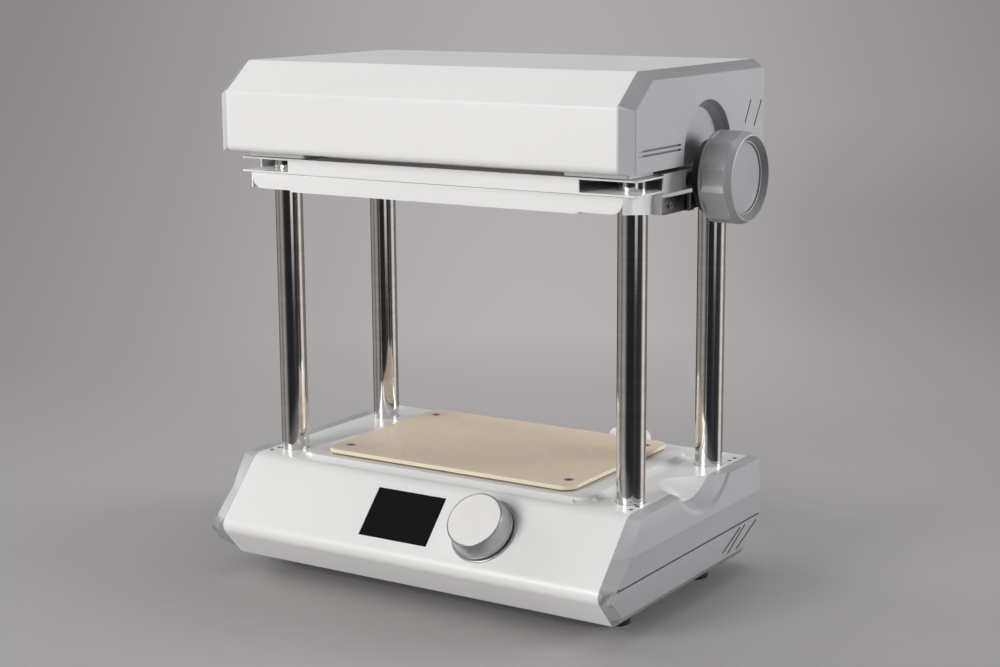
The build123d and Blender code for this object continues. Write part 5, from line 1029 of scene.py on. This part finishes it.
def backdropLevel(room, x, y, up, look):
    # brightest behind the object: base + drop * down + glow * e^((cos - 1) / spread), a painted pool of
    # light, with a painted soft shade to the right of the glow, halfway down
    back = math.radians(look["backAzimuth"])
    flat = (x * x + y * y).root()
    facing = (x * -math.sin(back) + y * math.cos(back)) / flat
    glow = room.math("POWER", math.e, (facing - 1.0) / look["backSpread"])
    down = (0.0 - up).clip(0.0, look["backDropMost"])
    level = down * look["backDrop"] + glow * look["backGlow"] + look["backBase"]
    right = room.ranged((x * math.cos(back) + y * math.sin(back)) / flat, *look["shadeRight"], 0.0, 1.0)
    halfway = room.ranged(down, *look["shadeTop"], 0.0, 1.0) * room.ranged(down, *look["shadeFoot"], 1.0, 0.0)
    return level * (1.0 - right * halfway * look["backShade"])


def roomWalls(room, x, y, up, look):
    # what mirrors see: bands of tone by azimuth below the horizon, one pale strip, and an even tone above
    home = math.radians(look["roomAzimuth"])
    ahead = x * math.sin(home) - y * math.cos(home)
    side = x * math.cos(home) + y * math.sin(home)
    turn = room.math("ARCTAN2", side, ahead) / (2 * math.pi) + 0.5
    bands, strip = ([((degrees + 180) / 360, v) for degrees, v in rows] for rows in (roomBands, stripBand))
    bands = room.ramp(turn, bands, (1.0, 0.925, 0.88), (0.97, 0.965, 1.12))
    strip = room.ramp(turn, strip) * room.ranged(up, *look["stripFade"], 0.0, 1.0)
    low = room.blend(strip, bands, tone(0.9, 1.0, 0.98, 0.95))
    above = room.ranged(up, *look["horizon"], 0.0, 1.0)
    return room.blend(above, low, tone(look["roomAbove"], 1.0, 0.985, 0.985))


def makeWorld(look):
    # camera rays see the backdrop, mirror rays the room, and all other rays a plain fill
    world = bpy.data.worlds.new("room")
    bpy.context.scene.world = world
    room = Finish("room", world)
    aim = room.node("ShaderNodeTexCoord", output="Generated")
    split = room.node("ShaderNodeSeparateXYZ", None, {0: aim}).socket.node.outputs
    x, y, up = (Wire(room, split[i]) for i in range(3))
    level = backdropLevel(room, x, y, up, look)
    backdrop = room.blend(level, tone(0.0), tone(look["backGain"], *look["backTint"]))
    seen, mirrored, passed = rayKinds(room, "Camera", "Glossy", "Transmission")
    lit = room.blend(mirrored, tone(look["fill"]), roomWalls(room, x, y, up, look))
    colour = room.blend((seen + passed).clip(0.0, 1.0), lit, backdrop)
    glowing = room.node("ShaderNodeBackground", None, {"Color": colour, "Strength": 1.0})
    room.node("ShaderNodeOutputWorld", None, {0: glowing})


# soft lamps: place and size in metres, power in watts
lamps = [
    dict(name="keyPanel", place=(-0.85, -2.75, 1.1), size=(1.2, 1.4), power=62.0, colour=(1.0, 0.995, 0.985)),
    dict(name="leftPanel", place=(-2.4, 0.0, 1.0), size=(1.2, 1.2), power=23.0, colour=(1.0, 0.995, 0.99)),
    dict(name="rightPanel", place=(2.2, 1.3, 0.8), size=(1.2, 1.0), power=43.0, colour=(0.98, 0.985, 1.0)),
    dict(name="topPanel", place=(0.2, 0.3, 2.4), size=(1.6, 1.2), power=12.0, colour=(0.98, 0.985, 1.0)),
]


def makeLamps(rows, aim=(0, 0, 0.2)):
    for row in rows:
        data = bpy.data.lights.new(row["name"], "AREA")
        data.shape = "RECTANGLE"
        data.size, data.size_y = row["size"]
        data.energy = row["power"]
        data.color = row["colour"]
        lamp = bpy.data.objects.new(row["name"], data)
        bpy.context.scene.collection.objects.link(lamp)
        lamp.location = row["place"]
        lamp.rotation_euler = (Vector(aim) - Vector(row["place"])).to_track_quat("-Z", "Y").to_euler()


makeFloor(stageLook)
makeWorld(stageLook)
makeLamps(lamps)
bpy.context.scene.view_settings.view_transform = "Standard"
print("stage and lamps set")
